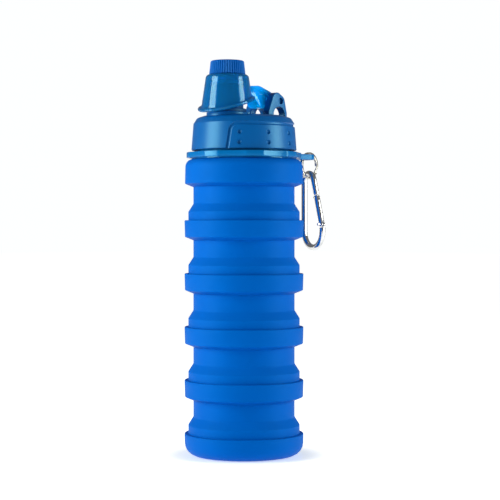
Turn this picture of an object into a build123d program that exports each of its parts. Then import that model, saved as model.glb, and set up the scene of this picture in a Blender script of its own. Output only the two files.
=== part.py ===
from build123d import *
import os
from math import asin, atan2, cos, degrees, hypot, radians, sin, sqrt

# A folding drinking bottle: a soft ribbed body that pushes down on itself, a rigid screw neck,
# a screw lid with a drinking spout under a hinged cover, a small screw cap on that cover, and
# a snap hook on a key ring. Millimetres, +Z up, origin on the bottle's axis at the floor.
# +X points from the axis to the cover's hinge, so the spout stands on the -X side.

# ---------------------------------------------------------------- soft body
FOLD_COUNT = 5          # thin webs that turn inside out when the bottle is pushed down
FOLD_PITCH = 31.5       # height of one web, one waist and one band
BASE_HEIGHT = 13.0      # height of the base cup's wall
BASE_FLOOR = 2.5
BASE_ROUND = 7.5
BAND_RADIUS = 35.0      # at a band's lower edge
BAND_DRAFT = 0.3        # how much wider a band is at its top
BAND_HEIGHT = 9.9
BAND_CHAMFER = 2.0      # height of the slope under a band
STEP_INSET = 2.0        # how far the step above a band stands back
STEP_HEIGHT = 5.0
WEB_HEIGHT = 4.7
SOFT_WALL = 1.8
NEST_GAP = 1.2          # between a waist and the ring it sinks into
FOLD_GAP = 0.6          # left between two rings when the bottle is pushed down
SHOULDER_HEIGHT = 14.6  # straight part and rounded top of the uppermost band
SHOULDER_ROUND = 4.5
SOFT_LIP = 3.0          # thickness of the soft top that the neck clamps
EDGE = 0.6              # small rounding of moulded edges

# ---------------------------------------------------------------- neck
NECK_BORE = 22.8
NECK_TUBE = 25.4        # the tube that reaches down through the soft top
NECK_ROOT = 27.4        # the threaded neck, without its thread
NECK_HEIGHT = 14.9
SEAT_HEIGHT = 0.6
SEAT_INSET = 3.0        # how far the seat stands back from the flange
FLANGE_INSET = 0.95     # how far the flange stands back from the bands
FLANGE_HEIGHT = 3.3
SCALLOP_COUNT = 8
SCALLOP_DEGREES = 28.0
SCALLOP_DEPTH = 1.5
CLAMP_HEIGHT = 3.3
CLAMP_WIDTH = 4.0
SLIDE_GAP = 0.1         # radial gap where pieces slide past each other
LID_PITCH = 4.0         # of the lid's thread
LID_THREAD_DEPTH = 1.2
LID_THREAD_END = 2.9    # from the neck thread's upper end to the neck's top
THREAD_GAP = 0.3
THREAD_SUNK = 0.25      # how far a thread's ridge reaches into its wall
THREAD_ROOT = 0.22      # half widths of a ridge at its root and crest, as parts of its pitch
THREAD_CREST = 0.10

# ---------------------------------------------------------------- tab, key ring
TAB_DEGREES = -12.5     # direction of the tab, from +X
TAB_PROUD = 14.7        # how far the tab stands out past the bands
TAB_WIDTH = 11.6
TAB_HOLE = 3.3
TAB_HOLE_PROUD = 9.2    # from the bands to the middle of the tab's hole
RING_DEGREES = 5.0      # direction of the key ring's plane, from +X
RING_INNER = 6.9
RING_WIDTH = 1.3
COIL_HEIGHT = 0.85      # of each of the key ring's two turns
COIL_GAP = 0.1
RING_HANG = 0.15        # between the ring and the tab's upper edges

# ---------------------------------------------------------------- snap hook
HOOK_DEGREES = -106.0   # direction from its spine to its gate
HOOK_ROD = 3.5
HOOK_LOWER_BEND = 10.2  # radii of the rod's centre line
HOOK_UPPER_BEND = 5.4
HOOK_BEND_SPACING = 29.5
HOOK_REST = 0.4         # between the hook's rod and the ring's wire
GATE_START = 0.02       # pivot and latch, as parts of the straight stretch between the bends
GATE_END = 0.60
TONGUE = 1.2            # thickness of the flattened ends of the rod
TONGUE_GAP = 0.1
PIVOT_CLEARANCE = 0.25  # between the gate's round foot and the end of the full rod below it
LATCH_CLEARANCE = 0.35  # between the gate's tip and the end of the full rod above it
GATE_TIP = 1.25         # how far the gate reaches past the latch
SLOT_CLEARANCE = 0.8    # between a tongue's round end and the bottom of its slot
RIVET_RADIUS = 0.7
LATCH_RADIUS = 0.5
LATCH_OVERHANG = 0.5
PIN_GAP = 0.05
SPRING_RADIUS = 0.35
SPRING_LENGTH = 9.0

# ---------------------------------------------------------------- lid
LID_GAP = 1.2           # between the collar's flange and the lid's skirt
LID_WALL = 2.3
LID_DRAFT = 1.2
LID_SEAL = 1.5          # thickness of the lid's sealing ring
LID_SEAL_WIDTH = 3.8
LID_SEAL_INSET = 0.4    # from the neck's bore to the sealing ring's
CROWN_RISE = 6.7        # from the sealing face to the crown
CROWN_WALL = 2.6
CROWN_DISH = 1.8        # how far the crown's underside rises towards its middle
KNEE_RISE = 0.5
KNEE_ROUND = 1.2
BROW_RISE = 3.8
BROW_INSET = 2.1
BROW_ROUND = 1.5
CREST_RISE = 5.0
CREST_INSET = 5.7
CREST_ROUND = 3.0
GROOVE_WIDTH = 1.5
GROOVE_DEPTH = 0.9
GROOVE_DROP = 1.0       # from the lid's knee down to the groove's middle
GRIP_START = -154.0     # where the grip panel starts, from +X; it runs round the hinge side
DIMPLE_COUNT = 9
DIMPLE_DEGREES = 31.9
DIMPLE_MARGIN = 13.3
DIMPLE_RADIUS = 1.5
DIMPLE_PROUD = 0.45     # how far a dimple's centre lies outside the lid's wall
DIMPLE_ROWS = (3.6, 9.6)    # heights above the skirt's lower edge

# ---------------------------------------------------------------- hinge
HINGE_OFFSET = 21.5     # from the bottle's axis
HINGE_RISE = 8.3        # above the crown
PIN_RADIUS = 1.9
EAR_THICKNESS = 5.0
EAR_GAP = 10.0
ARM_GAP = 0.25          # between the arm and each ear
ARCH_RADIUS = 4.9
ARCH_OFFSET = 1.4       # from the pin towards the bottle's axis
KNUCKLE_RADIUS = 4.4
ARM_POCKET = 1.8
PIN_RECESS = 1.6

# ---------------------------------------------------------------- spout, cover, cap
SPOUT_OFFSET = -14.1    # axis of spout, cover and cap, along X
SPOUT_BORE = 7.0
SPOUT_WALL = 2.0
SPOUT_TAPER = 0.5
SPOUT_HEIGHT = 16.2
SPOUT_FLANGE = 1.8      # how far its flange stands out
SPOUT_FLANGE_HEIGHT = 2.0
SPOUT_TAIL = 2.0        # how far the spout reaches below the crown's wall
BOSS_BORDER = 0.9
BOSS_RISE = 0.1
COVER_GAP = 1.95        # between the spout's top and the cover's wall
COVER_WALL = 1.8
COVER_SPREAD = 2.95     # how much wider the cover is at its foot than at its shoulder
COVER_ROUND = 2.0
COVER_SEAL = 1.5
COVER_SEAL_INSET = 0.5  # from the small neck's bore to the seal's
PRESS_REACH = 0.4       # how far the seal and its backing stand out past the spout's top
COVER_HEAD = 4.4        # from that seal to the cover's top
RIM_DEGREES = 17.0      # slope of the cover's lower rim
RIM_HEIGHT = 2.0
RIM_REACH = 2.0
RIM_FRONT_RISE = -0.4   # height of the rim's front end over the crown
CAP_BORE_GAP = 0.3
CAP_NECK_RADIUS = 8.0
CAP_NECK_BORE = 5.5
CAP_NECK_HEIGHT = 5.2
CAP_PITCH = 2.0
CAP_THREAD_DEPTH = 0.5
CAP_THREAD_START = 1.2  # from the cover's top to the small neck's thread
CAP_THREAD_END = 1.0    # from that thread's upper end to the small neck's top
CAP_WALL = 1.9
CAP_TAPER = 0.9
CAP_HEIGHT = 8.0
CAP_FOOT_GAP = 0.1
CAP_LINER = 1.0
RIB_COUNT = 48
RIB_DEPTH = 0.35

# ---------------------------------------------------------------- places worked out from the sizes
STEP_RADIUS = BAND_RADIUS - STEP_INSET
RING_BORE = STEP_RADIUS - SOFT_WALL
WAIST_RADIUS = RING_BORE - NEST_GAP
WAIST_BORE = WAIST_RADIUS - SOFT_WALL
WAIST_HEIGHT = FOLD_PITCH - STEP_HEIGHT - WEB_HEIGHT - BAND_CHAMFER - BAND_HEIGHT
FOLD_TRAVEL = WEB_HEIGHT + WAIST_HEIGHT - FOLD_GAP
BAND_TOPS = [BASE_HEIGHT + FOLD_PITCH * number for number in range(FOLD_COUNT)]
SHOULDER_FOOT = BAND_TOPS[-1] + FOLD_PITCH - BAND_HEIGHT
SHOULDER_TOP = SHOULDER_FOOT + SHOULDER_HEIGHT

FLANGE_RADIUS = BAND_RADIUS - FLANGE_INSET
FLANGE_FOOT = SHOULDER_TOP + SEAT_HEIGHT
FLANGE_TOP = FLANGE_FOOT + FLANGE_HEIGHT
TAB_REACH = BAND_RADIUS + TAB_PROUD
TAB_HOLE_REACH = BAND_RADIUS + TAB_HOLE_PROUD
NECK_TOP = FLANGE_TOP + NECK_HEIGHT
LID_BORE = NECK_ROOT + LID_THREAD_DEPTH + THREAD_GAP
LID_FOOT = FLANGE_TOP + LID_GAP
SEAL_FACE = NECK_TOP + LID_SEAL
LID_FOOT_RADIUS = LID_BORE + LID_WALL
KNEE_RADIUS = LID_FOOT_RADIUS - LID_DRAFT
KNEE = SEAL_FACE + KNEE_RISE
CROWN = SEAL_FACE + CROWN_RISE
HINGE_HEIGHT = CROWN + HINGE_RISE
NECK_THREAD_FOOT = FLANGE_TOP + LID_PITCH
NECK_THREAD_TURNS = (NECK_TOP - LID_THREAD_END - NECK_THREAD_FOOT) / LID_PITCH

BOSS_TOP = CROWN + BOSS_RISE
SPOUT_TOP_RADIUS = SPOUT_BORE + SPOUT_WALL
SPOUT_FOOT_RADIUS = SPOUT_TOP_RADIUS + SPOUT_TAPER
BOSS_RADIUS = SPOUT_FOOT_RADIUS + SPOUT_FLANGE + BOSS_BORDER
SPOUT_TOP = BOSS_TOP + SPOUT_HEIGHT
COVER_TOP = SPOUT_TOP + COVER_SEAL + COVER_HEAD
COVER_SHOULDER_RADIUS = SPOUT_TOP_RADIUS + COVER_GAP + COVER_WALL
COVER_FOOT_RADIUS = COVER_SHOULDER_RADIUS + COVER_SPREAD
CAP_FOOT = COVER_TOP + CAP_FOOT_GAP
CAP_BORE = CAP_NECK_RADIUS + CAP_THREAD_DEPTH + CAP_BORE_GAP
CAP_NECK_TOP = COVER_TOP + CAP_NECK_HEIGHT
CAP_THREAD_FOOT = COVER_TOP + CAP_THREAD_START
CAP_THREAD_TURNS = (CAP_NECK_TOP - CAP_THREAD_END - CAP_THREAD_FOOT) / CAP_PITCH


# ---------------------------------------------------------------- ways to draw
def outline(*corners):
    """A flat face from corners (across, up) or (across, up, rounding radius), in order."""
    points = [corner[:2] for corner in corners]
    roundings = [corner[2] if len(corner) > 2 else 0 for corner in corners]
    return make_face(FilletPolyline(*points, radius=roundings, close=True))


def turned(*corners):
    """A solid of revolution about the Z axis, from corners (radius, height)."""
    return revolve(Plane.XZ * outline(*corners), Axis.Z)


def slab(face, thickness):
    """A face drawn in (x, height) made a plate, centred on the XZ plane."""
    return extrude(Plane.XZ * face, thickness / 2, both=True)


def tube(outer, inner, foot, top):
    return turned((inner, foot), (outer, foot), (outer, top), (inner, top))


def rod(radius, foot, top):
    return turned((0, foot), (radius, foot), (radius, top), (0, top))


def upright(x, y, direction):
    """An upright drawing plane through (x, y): across is the direction, up is the height."""
    turn = radians(direction)
    return Plane(origin=(x, y, 0), x_dir=(cos(turn), sin(turn), 0), z_dir=(sin(turn), -cos(turn), 0))


def ridge(radius, depth, pitch, foot, turns):
    """A right-hand thread ridge on a wall; a negative depth points inwards."""
    sunk = THREAD_SUNK if depth > 0 else -THREAD_SUNK
    half_root = THREAD_ROOT * pitch
    half_crest = THREAD_CREST * pitch
    path = Helix(pitch=pitch, height=pitch * turns, radius=radius, center=(0, 0, foot))
    section_plane = Plane(origin=path @ 0, x_dir=(1, 0, 0), z_dir=path % 0)
    corners = [(-sunk, -half_root), (depth, -half_crest), (depth, half_crest), (-sunk, half_root)]
    section = make_face(Polyline(*corners, close=True))
    return sweep(section_plane * section, path, is_frenet=True)


# ---------------------------------------------------------------- soft body
def base_cup():
    step_top = BASE_HEIGHT + STEP_HEIGHT
    return turned(
        (0, 0),
        (BAND_RADIUS, 0, BASE_ROUND),
        (BAND_RADIUS + BAND_DRAFT, BASE_HEIGHT, EDGE),
        (STEP_RADIUS, BASE_HEIGHT),
        (STEP_RADIUS, step_top),
        (RING_BORE, step_top),
        (RING_BORE, BASE_FLOOR, BASE_ROUND - BASE_FLOOR),
        (0, BASE_FLOOR),
    )


def fold_band(top):
    """A waist, a band and a step in one ring; the band ends at this height."""
    band_foot = top - BAND_HEIGHT
    slope_foot = band_foot - BAND_CHAMFER
    waist_foot = slope_foot - WAIST_HEIGHT
    step_top = top + STEP_HEIGHT
    return turned(
        (WAIST_BORE, waist_foot),
        (WAIST_RADIUS, waist_foot),
        (WAIST_RADIUS, slope_foot),
        (BAND_RADIUS, band_foot, EDGE),
        (BAND_RADIUS + BAND_DRAFT, top, EDGE),
        (STEP_RADIUS, top),
        (STEP_RADIUS, step_top),
        (RING_BORE, step_top),
        (RING_BORE, band_foot),
        (WAIST_BORE, slope_foot),
    )


def fold_web(band_top):
    """The thin cone between the step above a band and the next waist."""
    foot = band_top + STEP_HEIGHT
    top = foot + WEB_HEIGHT
    return turned((RING_BORE, foot), (STEP_RADIUS, foot), (WAIST_RADIUS, top), (WAIST_BORE, top))


def shoulder_band():
    slope_foot = SHOULDER_FOOT - BAND_CHAMFER
    waist_foot = slope_foot - WAIST_HEIGHT
    hole = NECK_TUBE + SLIDE_GAP
    lip_foot = SHOULDER_TOP - SOFT_LIP
    return turned(
        (WAIST_BORE, waist_foot),
        (WAIST_RADIUS, waist_foot),
        (WAIST_RADIUS, slope_foot),
        (BAND_RADIUS, SHOULDER_FOOT, EDGE),
        (BAND_RADIUS - BAND_DRAFT, SHOULDER_TOP, SHOULDER_ROUND),
        (hole, SHOULDER_TOP),
        (hole, lip_foot),
        (RING_BORE, lip_foot, RING_BORE - hole - CLAMP_WIDTH - EDGE),
        (RING_BORE, SHOULDER_FOOT),
        (WAIST_BORE, slope_foot),
    )


# ---------------------------------------------------------------- neck
def neck_collar():
    """Flange with a scalloped edge and a tab, threaded neck above, plain tube below."""
    flange = rod(FLANGE_RADIUS, FLANGE_FOOT, FLANGE_TOP)
    half_chord = FLANGE_RADIUS * sin(radians(SCALLOP_DEGREES / 2))
    sagitta = SCALLOP_DEPTH - FLANGE_RADIUS * (1 - cos(radians(SCALLOP_DEGREES / 2)))
    cutter_radius = (half_chord ** 2 + sagitta ** 2) / (2 * sagitta)
    cutter_reach = FLANGE_RADIUS - SCALLOP_DEPTH + cutter_radius
    cutter = Pos(cutter_reach, 0, 0) * rod(cutter_radius, FLANGE_FOOT, FLANGE_TOP)
    for number in range(SCALLOP_COUNT):
        flange -= Rot(0, 0, TAB_DEGREES + number * 360 / SCALLOP_COUNT) * cutter
    half_width = TAB_WIDTH / 2
    tab_round = 0.95 * half_width
    tab_face = outline(
        (NECK_ROOT, -half_width),
        (TAB_REACH, -half_width, tab_round),
        (TAB_REACH, half_width, tab_round),
        (NECK_ROOT, half_width),
    )
    tab = Pos(0, 0, FLANGE_FOOT) * extrude(tab_face, FLANGE_HEIGHT)
    tab -= Pos(TAB_HOLE_REACH, 0, 0) * rod(TAB_HOLE, FLANGE_FOOT, FLANGE_TOP)
    seat = rod(FLANGE_RADIUS - SEAT_INSET, SHOULDER_TOP, FLANGE_FOOT)
    neck = rod(NECK_ROOT, FLANGE_TOP, NECK_TOP)
    sleeve = rod(NECK_TUBE, SHOULDER_TOP - SOFT_LIP - CLAMP_HEIGHT, SHOULDER_TOP)
    collar = flange + Rot(0, 0, TAB_DEGREES) * tab + seat + neck + sleeve
    collar -= rod(NECK_BORE, SHOULDER_TOP - SOFT_LIP - CLAMP_HEIGHT, NECK_TOP)
    return collar + ridge(NECK_ROOT, LID_THREAD_DEPTH, LID_PITCH, NECK_THREAD_FOOT, NECK_THREAD_TURNS)


def neck_clamp_ring():
    top = SHOULDER_TOP - SOFT_LIP
    bore = NECK_TUBE + SLIDE_GAP
    return tube(bore + CLAMP_WIDTH, bore, top - CLAMP_HEIGHT, top)


# ---------------------------------------------------------------- lid
def lid_body():
    """The lid's outside, before it is hollowed."""
    return turned(
        (0, LID_FOOT),
        (LID_FOOT_RADIUS, LID_FOOT),
        (KNEE_RADIUS, KNEE, KNEE_ROUND),
        (KNEE_RADIUS - BROW_INSET, SEAL_FACE + BROW_RISE, BROW_ROUND),
        (KNEE_RADIUS - CREST_INSET, SEAL_FACE + CREST_RISE, CREST_ROUND),
        (0, CROWN),
    )


def hinge_ears():
    """Two plates that hold the pin, each with an arch through its foot, drawn from the pin."""
    x = HINGE_OFFSET
    z = HINGE_HEIGHT
    through = 2 * EAR_GAP + 2 * EAR_THICKNESS
    sunk = SEAL_FACE
    face = outline(
        (x - 10.7, sunk),
        (x - 10.7, z - 6.6, 2),
        (x - 8.6, z - 1.8, 8),
        (x - 6.4, z + 3.6, 4),
        (x - 2.5, z + 5.4, 3.5),
        (x + 3.2, z + 2.0, 3.5),
        (x + 5.5, z - 7.0),
        (x + 5.5, sunk),
    )
    plates = slab(face, EAR_GAP + 2 * EAR_THICKNESS) - slab(face, EAR_GAP)
    pin_hole = Pos(x, 0, z) * Rot(90, 0, 0) * Cylinder(PIN_RADIUS + PIN_GAP, through)
    arch = Pos(x - ARCH_OFFSET, 0, CROWN) * Rot(90, 0, 0) * Cylinder(ARCH_RADIUS, through)
    return plates - pin_hole - (arch & above_crown())


def above_crown():
    size = 4 * LID_FOOT_RADIUS
    return Pos(0, 0, SEAL_FACE + CREST_RISE + size / 2) * Box(size, size, size)


def grip_groove():
    """The narrow groove that frames the grip panel: one run round the lid and a leg at each end."""
    middle = KNEE - GROOVE_DROP
    half = GROOVE_WIDTH / 2
    floor_radius = KNEE_RADIUS - GROOVE_DEPTH
    arc = 2 * DIMPLE_MARGIN + (DIMPLE_COUNT - 1) * DIMPLE_DEGREES
    run_face = Plane.XZ * outline(
        (floor_radius, middle - half * 0.6),
        (KNEE_RADIUS + LID_DRAFT, middle - half),
        (KNEE_RADIUS + LID_DRAFT, middle + half),
        (floor_radius, middle + half * 0.6),
    )
    run = Rot(0, 0, GRIP_START) * revolve(run_face, Axis.Z, arc)
    leg_height = middle - LID_FOOT + LID_GAP
    lean = degrees(asin(LID_DRAFT / leg_height))
    leg_box = Box(2 * GROOVE_DEPTH, GROOVE_WIDTH, leg_height)
    leg_top = Pos(floor_radius + GROOVE_DEPTH, 0, middle + half) * Rot(0, -lean, 0)
    leg = leg_top * Pos(0, 0, -leg_height / 2) * leg_box
    return run + Rot(0, 0, GRIP_START) * leg + Rot(0, 0, GRIP_START + arc) * leg


def lid_shell():
    boss = Pos(SPOUT_OFFSET, 0, 0) * turned(
        (0, SEAL_FACE), (BOSS_RADIUS, SEAL_FACE), (BOSS_RADIUS, BOSS_TOP, EDGE), (0, BOSS_TOP)
    )
    cavity = turned(
        (0, LID_FOOT),
        (LID_BORE, LID_FOOT),
        (LID_BORE, SEAL_FACE - LID_BORE + NECK_ROOT),
        (NECK_ROOT, SEAL_FACE),
        (NECK_BORE, SEAL_FACE),
        (NECK_BORE, CROWN - CROWN_WALL - CROWN_DISH),
        (0, CROWN - CROWN_WALL),
    )
    spout_hole = Pos(SPOUT_OFFSET, 0, 0) * rod(SPOUT_TOP_RADIUS + SLIDE_GAP, SEAL_FACE, BOSS_TOP)
    shell = lid_body() + boss + hinge_ears() - cavity - spout_hole - grip_groove()
    for column in range(DIMPLE_COUNT):
        turn = GRIP_START + DIMPLE_MARGIN + column * DIMPLE_DEGREES
        for rise in DIMPLE_ROWS:
            reach = LID_FOOT_RADIUS - LID_DRAFT * rise / (KNEE - LID_FOOT) + DIMPLE_PROUD
            dimple = Pos(reach, 0, LID_FOOT + rise) * Sphere(DIMPLE_RADIUS)
            shell -= Rot(0, 0, turn) * dimple
    thread_foot = NECK_THREAD_FOOT + LID_PITCH / 2
    return shell + ridge(LID_BORE, -LID_THREAD_DEPTH, LID_PITCH, thread_foot, 1)


def lid_gasket():
    bore = NECK_BORE + LID_SEAL_INSET
    return tube(bore + LID_SEAL_WIDTH, bore, NECK_TOP, SEAL_FACE)


def hinge_pin():
    length = EAR_GAP + 2 * EAR_THICKNESS - 2 * PIN_RECESS
    return Pos(HINGE_OFFSET, 0, HINGE_HEIGHT) * Rot(90, 0, 0) * Cylinder(PIN_RADIUS, length)


def drinking_spout():
    flange_radius = SPOUT_FOOT_RADIUS + SPOUT_FLANGE
    flange_top = BOSS_TOP + SPOUT_FLANGE_HEIGHT
    foot = CROWN - CROWN_WALL - SPOUT_TAIL
    spout = turned(
        (SPOUT_BORE, foot),
        (SPOUT_TOP_RADIUS, foot),
        (SPOUT_TOP_RADIUS, BOSS_TOP),
        (flange_radius, BOSS_TOP),
        (flange_radius, flange_top, EDGE),
        (SPOUT_FOOT_RADIUS, flange_top),
        (SPOUT_TOP_RADIUS, SPOUT_TOP, EDGE),
        (SPOUT_BORE, SPOUT_TOP),
    )
    return Pos(SPOUT_OFFSET, 0, 0) * spout


# ---------------------------------------------------------------- cover
def cup_body(inset, foot):
    """The cover's cone, made smaller all round by the inset."""
    top = COVER_TOP - inset
    shoulder = COVER_TOP - COVER_ROUND
    slope = COVER_SPREAD / (shoulder - CROWN)
    foot_radius = COVER_SHOULDER_RADIUS + slope * (shoulder - foot) - inset
    top_radius = COVER_SHOULDER_RADIUS - slope * (top - shoulder) - inset
    rounding = max(COVER_ROUND - inset, EDGE)
    cup = turned((0, foot), (foot_radius, foot), (top_radius, top, rounding), (0, top))
    return Pos(SPOUT_OFFSET, 0, 0) * cup


def rim_slab(low, high):
    """The space between two sloping planes, measured up from the rim's lower face."""
    size = 4 * LID_FOOT_RADIUS
    front = SPOUT_OFFSET - COVER_FOOT_RADIUS
    block = Pos(0, 0, (low + high) / 2) * Box(size, size, high - low)
    return Pos(front, 0, CROWN + RIM_FRONT_RISE) * Rot(0, -RIM_DEGREES, 0) * block


def cover_arm():
    """The arm from the cup to the pin, with a border round a pocket on each side, drawn from the pin."""
    x = HINGE_OFFSET
    z = HINGE_HEIGHT
    width = EAR_GAP - 2 * ARM_GAP
    face = outline(
        (SPOUT_OFFSET, z + 6.0),
        (x - 19.0, z + 8.2, 4),
        (x - 13.0, z + 8.7, 8),
        (x - 6.5, z + 6.6, 8),
        (x, z + KNUCKLE_RADIUS),
        (x, z - KNUCKLE_RADIUS),
        (x - 12.5, z - KNUCKLE_RADIUS, 3),
        (x - 15.5, z - 0.5, 4),
        (x - 19.5, z + 2.6, 2),
        (SPOUT_OFFSET, z + 2.6),
    )
    arm = slab(face, width)
    pocket_face = outline(
        (x - 17.0, z + 5.6, 1),
        (x - 12.5, z + 6.6, 4),
        (x - 7.0, z + 4.8, 3),
        (x - 5.8, z + 3.0, 0.8),
        (x - 5.8, z - 2.6, 1.5),
        (x - 11.8, z - 2.6, 2),
        (x - 14.0, z + 0.6, 2),
    )
    arm -= slab(pocket_face, width) - slab(pocket_face, width - 2 * ARM_POCKET)
    knuckle = Pos(x, 0, z) * Rot(90, 0, 0) * Cylinder(KNUCKLE_RADIUS, width)
    return arm + knuckle


def flip_cover():
    foot = CROWN - 4
    cup = cup_body(0, foot) & rim_slab(0, 3 * COVER_FOOT_RADIUS)
    bead = cup_body(-RIM_REACH, foot) & rim_slab(0, RIM_HEIGHT)
    press_foot = SPOUT_TOP + COVER_SEAL
    press = Pos(SPOUT_OFFSET, 0, 0) * rod(SPOUT_TOP_RADIUS + PRESS_REACH, press_foot, COVER_TOP)
    neck = Pos(SPOUT_OFFSET, 0, 0) * turned(
        (0, COVER_TOP - COVER_WALL),
        (CAP_NECK_RADIUS, COVER_TOP - COVER_WALL),
        (CAP_NECK_RADIUS, CAP_NECK_TOP, CAP_THREAD_DEPTH),
        (0, CAP_NECK_TOP),
    )
    bore = Pos(SPOUT_OFFSET, 0, 0) * rod(CAP_NECK_BORE, press_foot, CAP_NECK_TOP)
    pin_hole = Rot(90, 0, 0) * Cylinder(PIN_RADIUS + PIN_GAP, 2 * EAR_GAP)
    pin_hole = Pos(HINGE_OFFSET, 0, HINGE_HEIGHT) * pin_hole
    cover = cup + bead + cover_arm() - cup_body(COVER_WALL, foot - 1) - pin_hole
    thread = ridge(CAP_NECK_RADIUS, CAP_THREAD_DEPTH, CAP_PITCH, CAP_THREAD_FOOT, CAP_THREAD_TURNS)
    return cover + press + neck - bore + Pos(SPOUT_OFFSET, 0, 0) * thread


def cover_gasket():
    outer = SPOUT_TOP_RADIUS + PRESS_REACH
    inner = CAP_NECK_BORE + COVER_SEAL_INSET
    return Pos(SPOUT_OFFSET, 0, 0) * tube(outer, inner, SPOUT_TOP, SPOUT_TOP + COVER_SEAL)


# ---------------------------------------------------------------- cap
def ribbed_cap():
    top = CAP_FOOT + CAP_HEIGHT
    foot_radius = CAP_BORE + CAP_WALL
    top_radius = foot_radius - CAP_TAPER
    cap = turned((0, CAP_FOOT), (foot_radius, CAP_FOOT), (top_radius, top, 1.0), (0, top))
    middle = Pos(foot_radius - CAP_TAPER / 2, 0, CAP_FOOT + CAP_HEIGHT / 2)
    lean = degrees(atan2(CAP_TAPER, CAP_HEIGHT))
    valley = middle * Rot(0, -lean, 0) * Cylinder(RIB_DEPTH, CAP_HEIGHT * 2)
    cap -= [Rot(0, 0, number * 360 / RIB_COUNT) * valley for number in range(RIB_COUNT)]
    cap -= rod(CAP_BORE, CAP_FOOT, CAP_NECK_TOP + CAP_LINER)
    thread = ridge(CAP_BORE, -CAP_THREAD_DEPTH, CAP_PITCH, CAP_THREAD_FOOT + CAP_PITCH / 2, 1)
    return Pos(SPOUT_OFFSET, 0, 0) * (cap + thread)


def cap_liner():
    return Pos(SPOUT_OFFSET, 0, 0) * rod(CAP_BORE - SLIDE_GAP, CAP_NECK_TOP, CAP_NECK_TOP + CAP_LINER)


# ---------------------------------------------------------------- key ring
RING_OUTER = RING_INNER + RING_WIDTH
RING_YAW = radians(RING_DEGREES - TAB_DEGREES)
BAR_WIDTH = TAB_REACH - TAB_HOLE_REACH - TAB_HOLE
BAR_HALF = BAR_WIDTH / 2 / cos(RING_YAW) + RING_HANG
RING_HEIGHT = FLANGE_TOP + RING_HANG - sqrt(RING_INNER ** 2 - BAR_HALF ** 2)
# In the tab's hole the wire slants from its outer edge, at the flange's foot, to its inner one.
WIRE_NEAR = sqrt(RING_INNER ** 2 - (FLANGE_TOP - RING_HEIGHT) ** 2)
WIRE_FAR = sqrt(RING_OUTER ** 2 - (FLANGE_FOOT - RING_HEIGHT) ** 2)
RING_REACH = (WIRE_NEAR + WIRE_FAR) / 2
RING_X = TAB_HOLE_REACH * cos(radians(TAB_DEGREES)) + RING_REACH * cos(radians(RING_DEGREES))
RING_Y = TAB_HOLE_REACH * sin(radians(TAB_DEGREES)) + RING_REACH * sin(radians(RING_DEGREES))


def split_ring():
    """Two flat turns, one behind the other, joined where the wire steps across."""
    inner = RING_INNER
    outer = RING_OUTER
    half = COIL_GAP / 2
    turns = tube(outer, inner, half, half + COIL_HEIGHT) + tube(outer, inner, -half - COIL_HEIGHT, -half)
    step_face = Plane.XZ * outline((inner, -half), (outer, -half), (outer, half), (inner, half))
    turns += revolve(step_face, Axis.Z, 30)
    return upright(RING_X, RING_Y, RING_DEGREES) * Pos(0, RING_HEIGHT, 0) * turns


# ---------------------------------------------------------------- snap hook
HOOK_TOP = RING_HEIGHT - RING_INNER + HOOK_REST + HOOK_ROD / 2
UPPER_CENTRE = (HOOK_UPPER_BEND, HOOK_TOP - HOOK_UPPER_BEND)
LOWER_CENTRE = (HOOK_LOWER_BEND, UPPER_CENTRE[1] - HOOK_BEND_SPACING)
HOOK_SPINE_X = RING_X - HOOK_UPPER_BEND * cos(radians(HOOK_DEGREES))
HOOK_SPINE_Y = RING_Y - HOOK_UPPER_BEND * sin(radians(HOOK_DEGREES))

# The gate's side is the straight line that touches both bends; it leans by twice the angle
# between the spine and the line through the bends' centres.
GATE_LEAN = 2 * atan2(HOOK_LOWER_BEND - HOOK_UPPER_BEND, HOOK_BEND_SPACING)
GATE_NORMAL = (cos(GATE_LEAN), sin(GATE_LEAN))
GATE_DIRECTION = (-sin(GATE_LEAN), cos(GATE_LEAN))
LOWER_TOUCH = tuple(LOWER_CENTRE[i] + HOOK_LOWER_BEND * GATE_NORMAL[i] for i in range(2))
UPPER_TOUCH = tuple(UPPER_CENTRE[i] + HOOK_UPPER_BEND * GATE_NORMAL[i] for i in range(2))
GATE_SIDE = hypot(UPPER_TOUCH[0] - LOWER_TOUCH[0], UPPER_TOUCH[1] - LOWER_TOUCH[1])
PIVOT = tuple(LOWER_TOUCH[i] + GATE_SIDE * GATE_START * GATE_DIRECTION[i] for i in range(2))
LATCH = tuple(LOWER_TOUCH[i] + GATE_SIDE * GATE_END * GATE_DIRECTION[i] for i in range(2))
GATE_LENGTH = GATE_SIDE * (GATE_END - GATE_START)
TONGUE_WIDTH = HOOK_ROD * 0.8
PIVOT_NECK = HOOK_ROD / 2 + PIVOT_CLEARANCE
LATCH_NECK = GATE_TIP + LATCH_CLEARANCE
SLOT_DEPTH = TONGUE_WIDTH / 2 + SLOT_CLEARANCE
HOOK_PLANE = upright(HOOK_SPINE_X, HOOK_SPINE_Y, HOOK_DEGREES)


def along_gate(place):
    """Puts a piece drawn along +Y from a pin's centre on the gate's line, at the pin."""
    return Pos(place[0], place[1], 0) * Rot(0, 0, degrees(GATE_LEAN))


def flat_end(place, reach):
    """A flattened end of the rod, rounded about the pin at this place, reaching up or down."""
    plate = Pos(0, reach / 2, 0) * Box(TONGUE_WIDTH, abs(reach), TONGUE)
    return along_gate(place) * (plate + Cylinder(TONGUE_WIDTH / 2, TONGUE))


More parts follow.
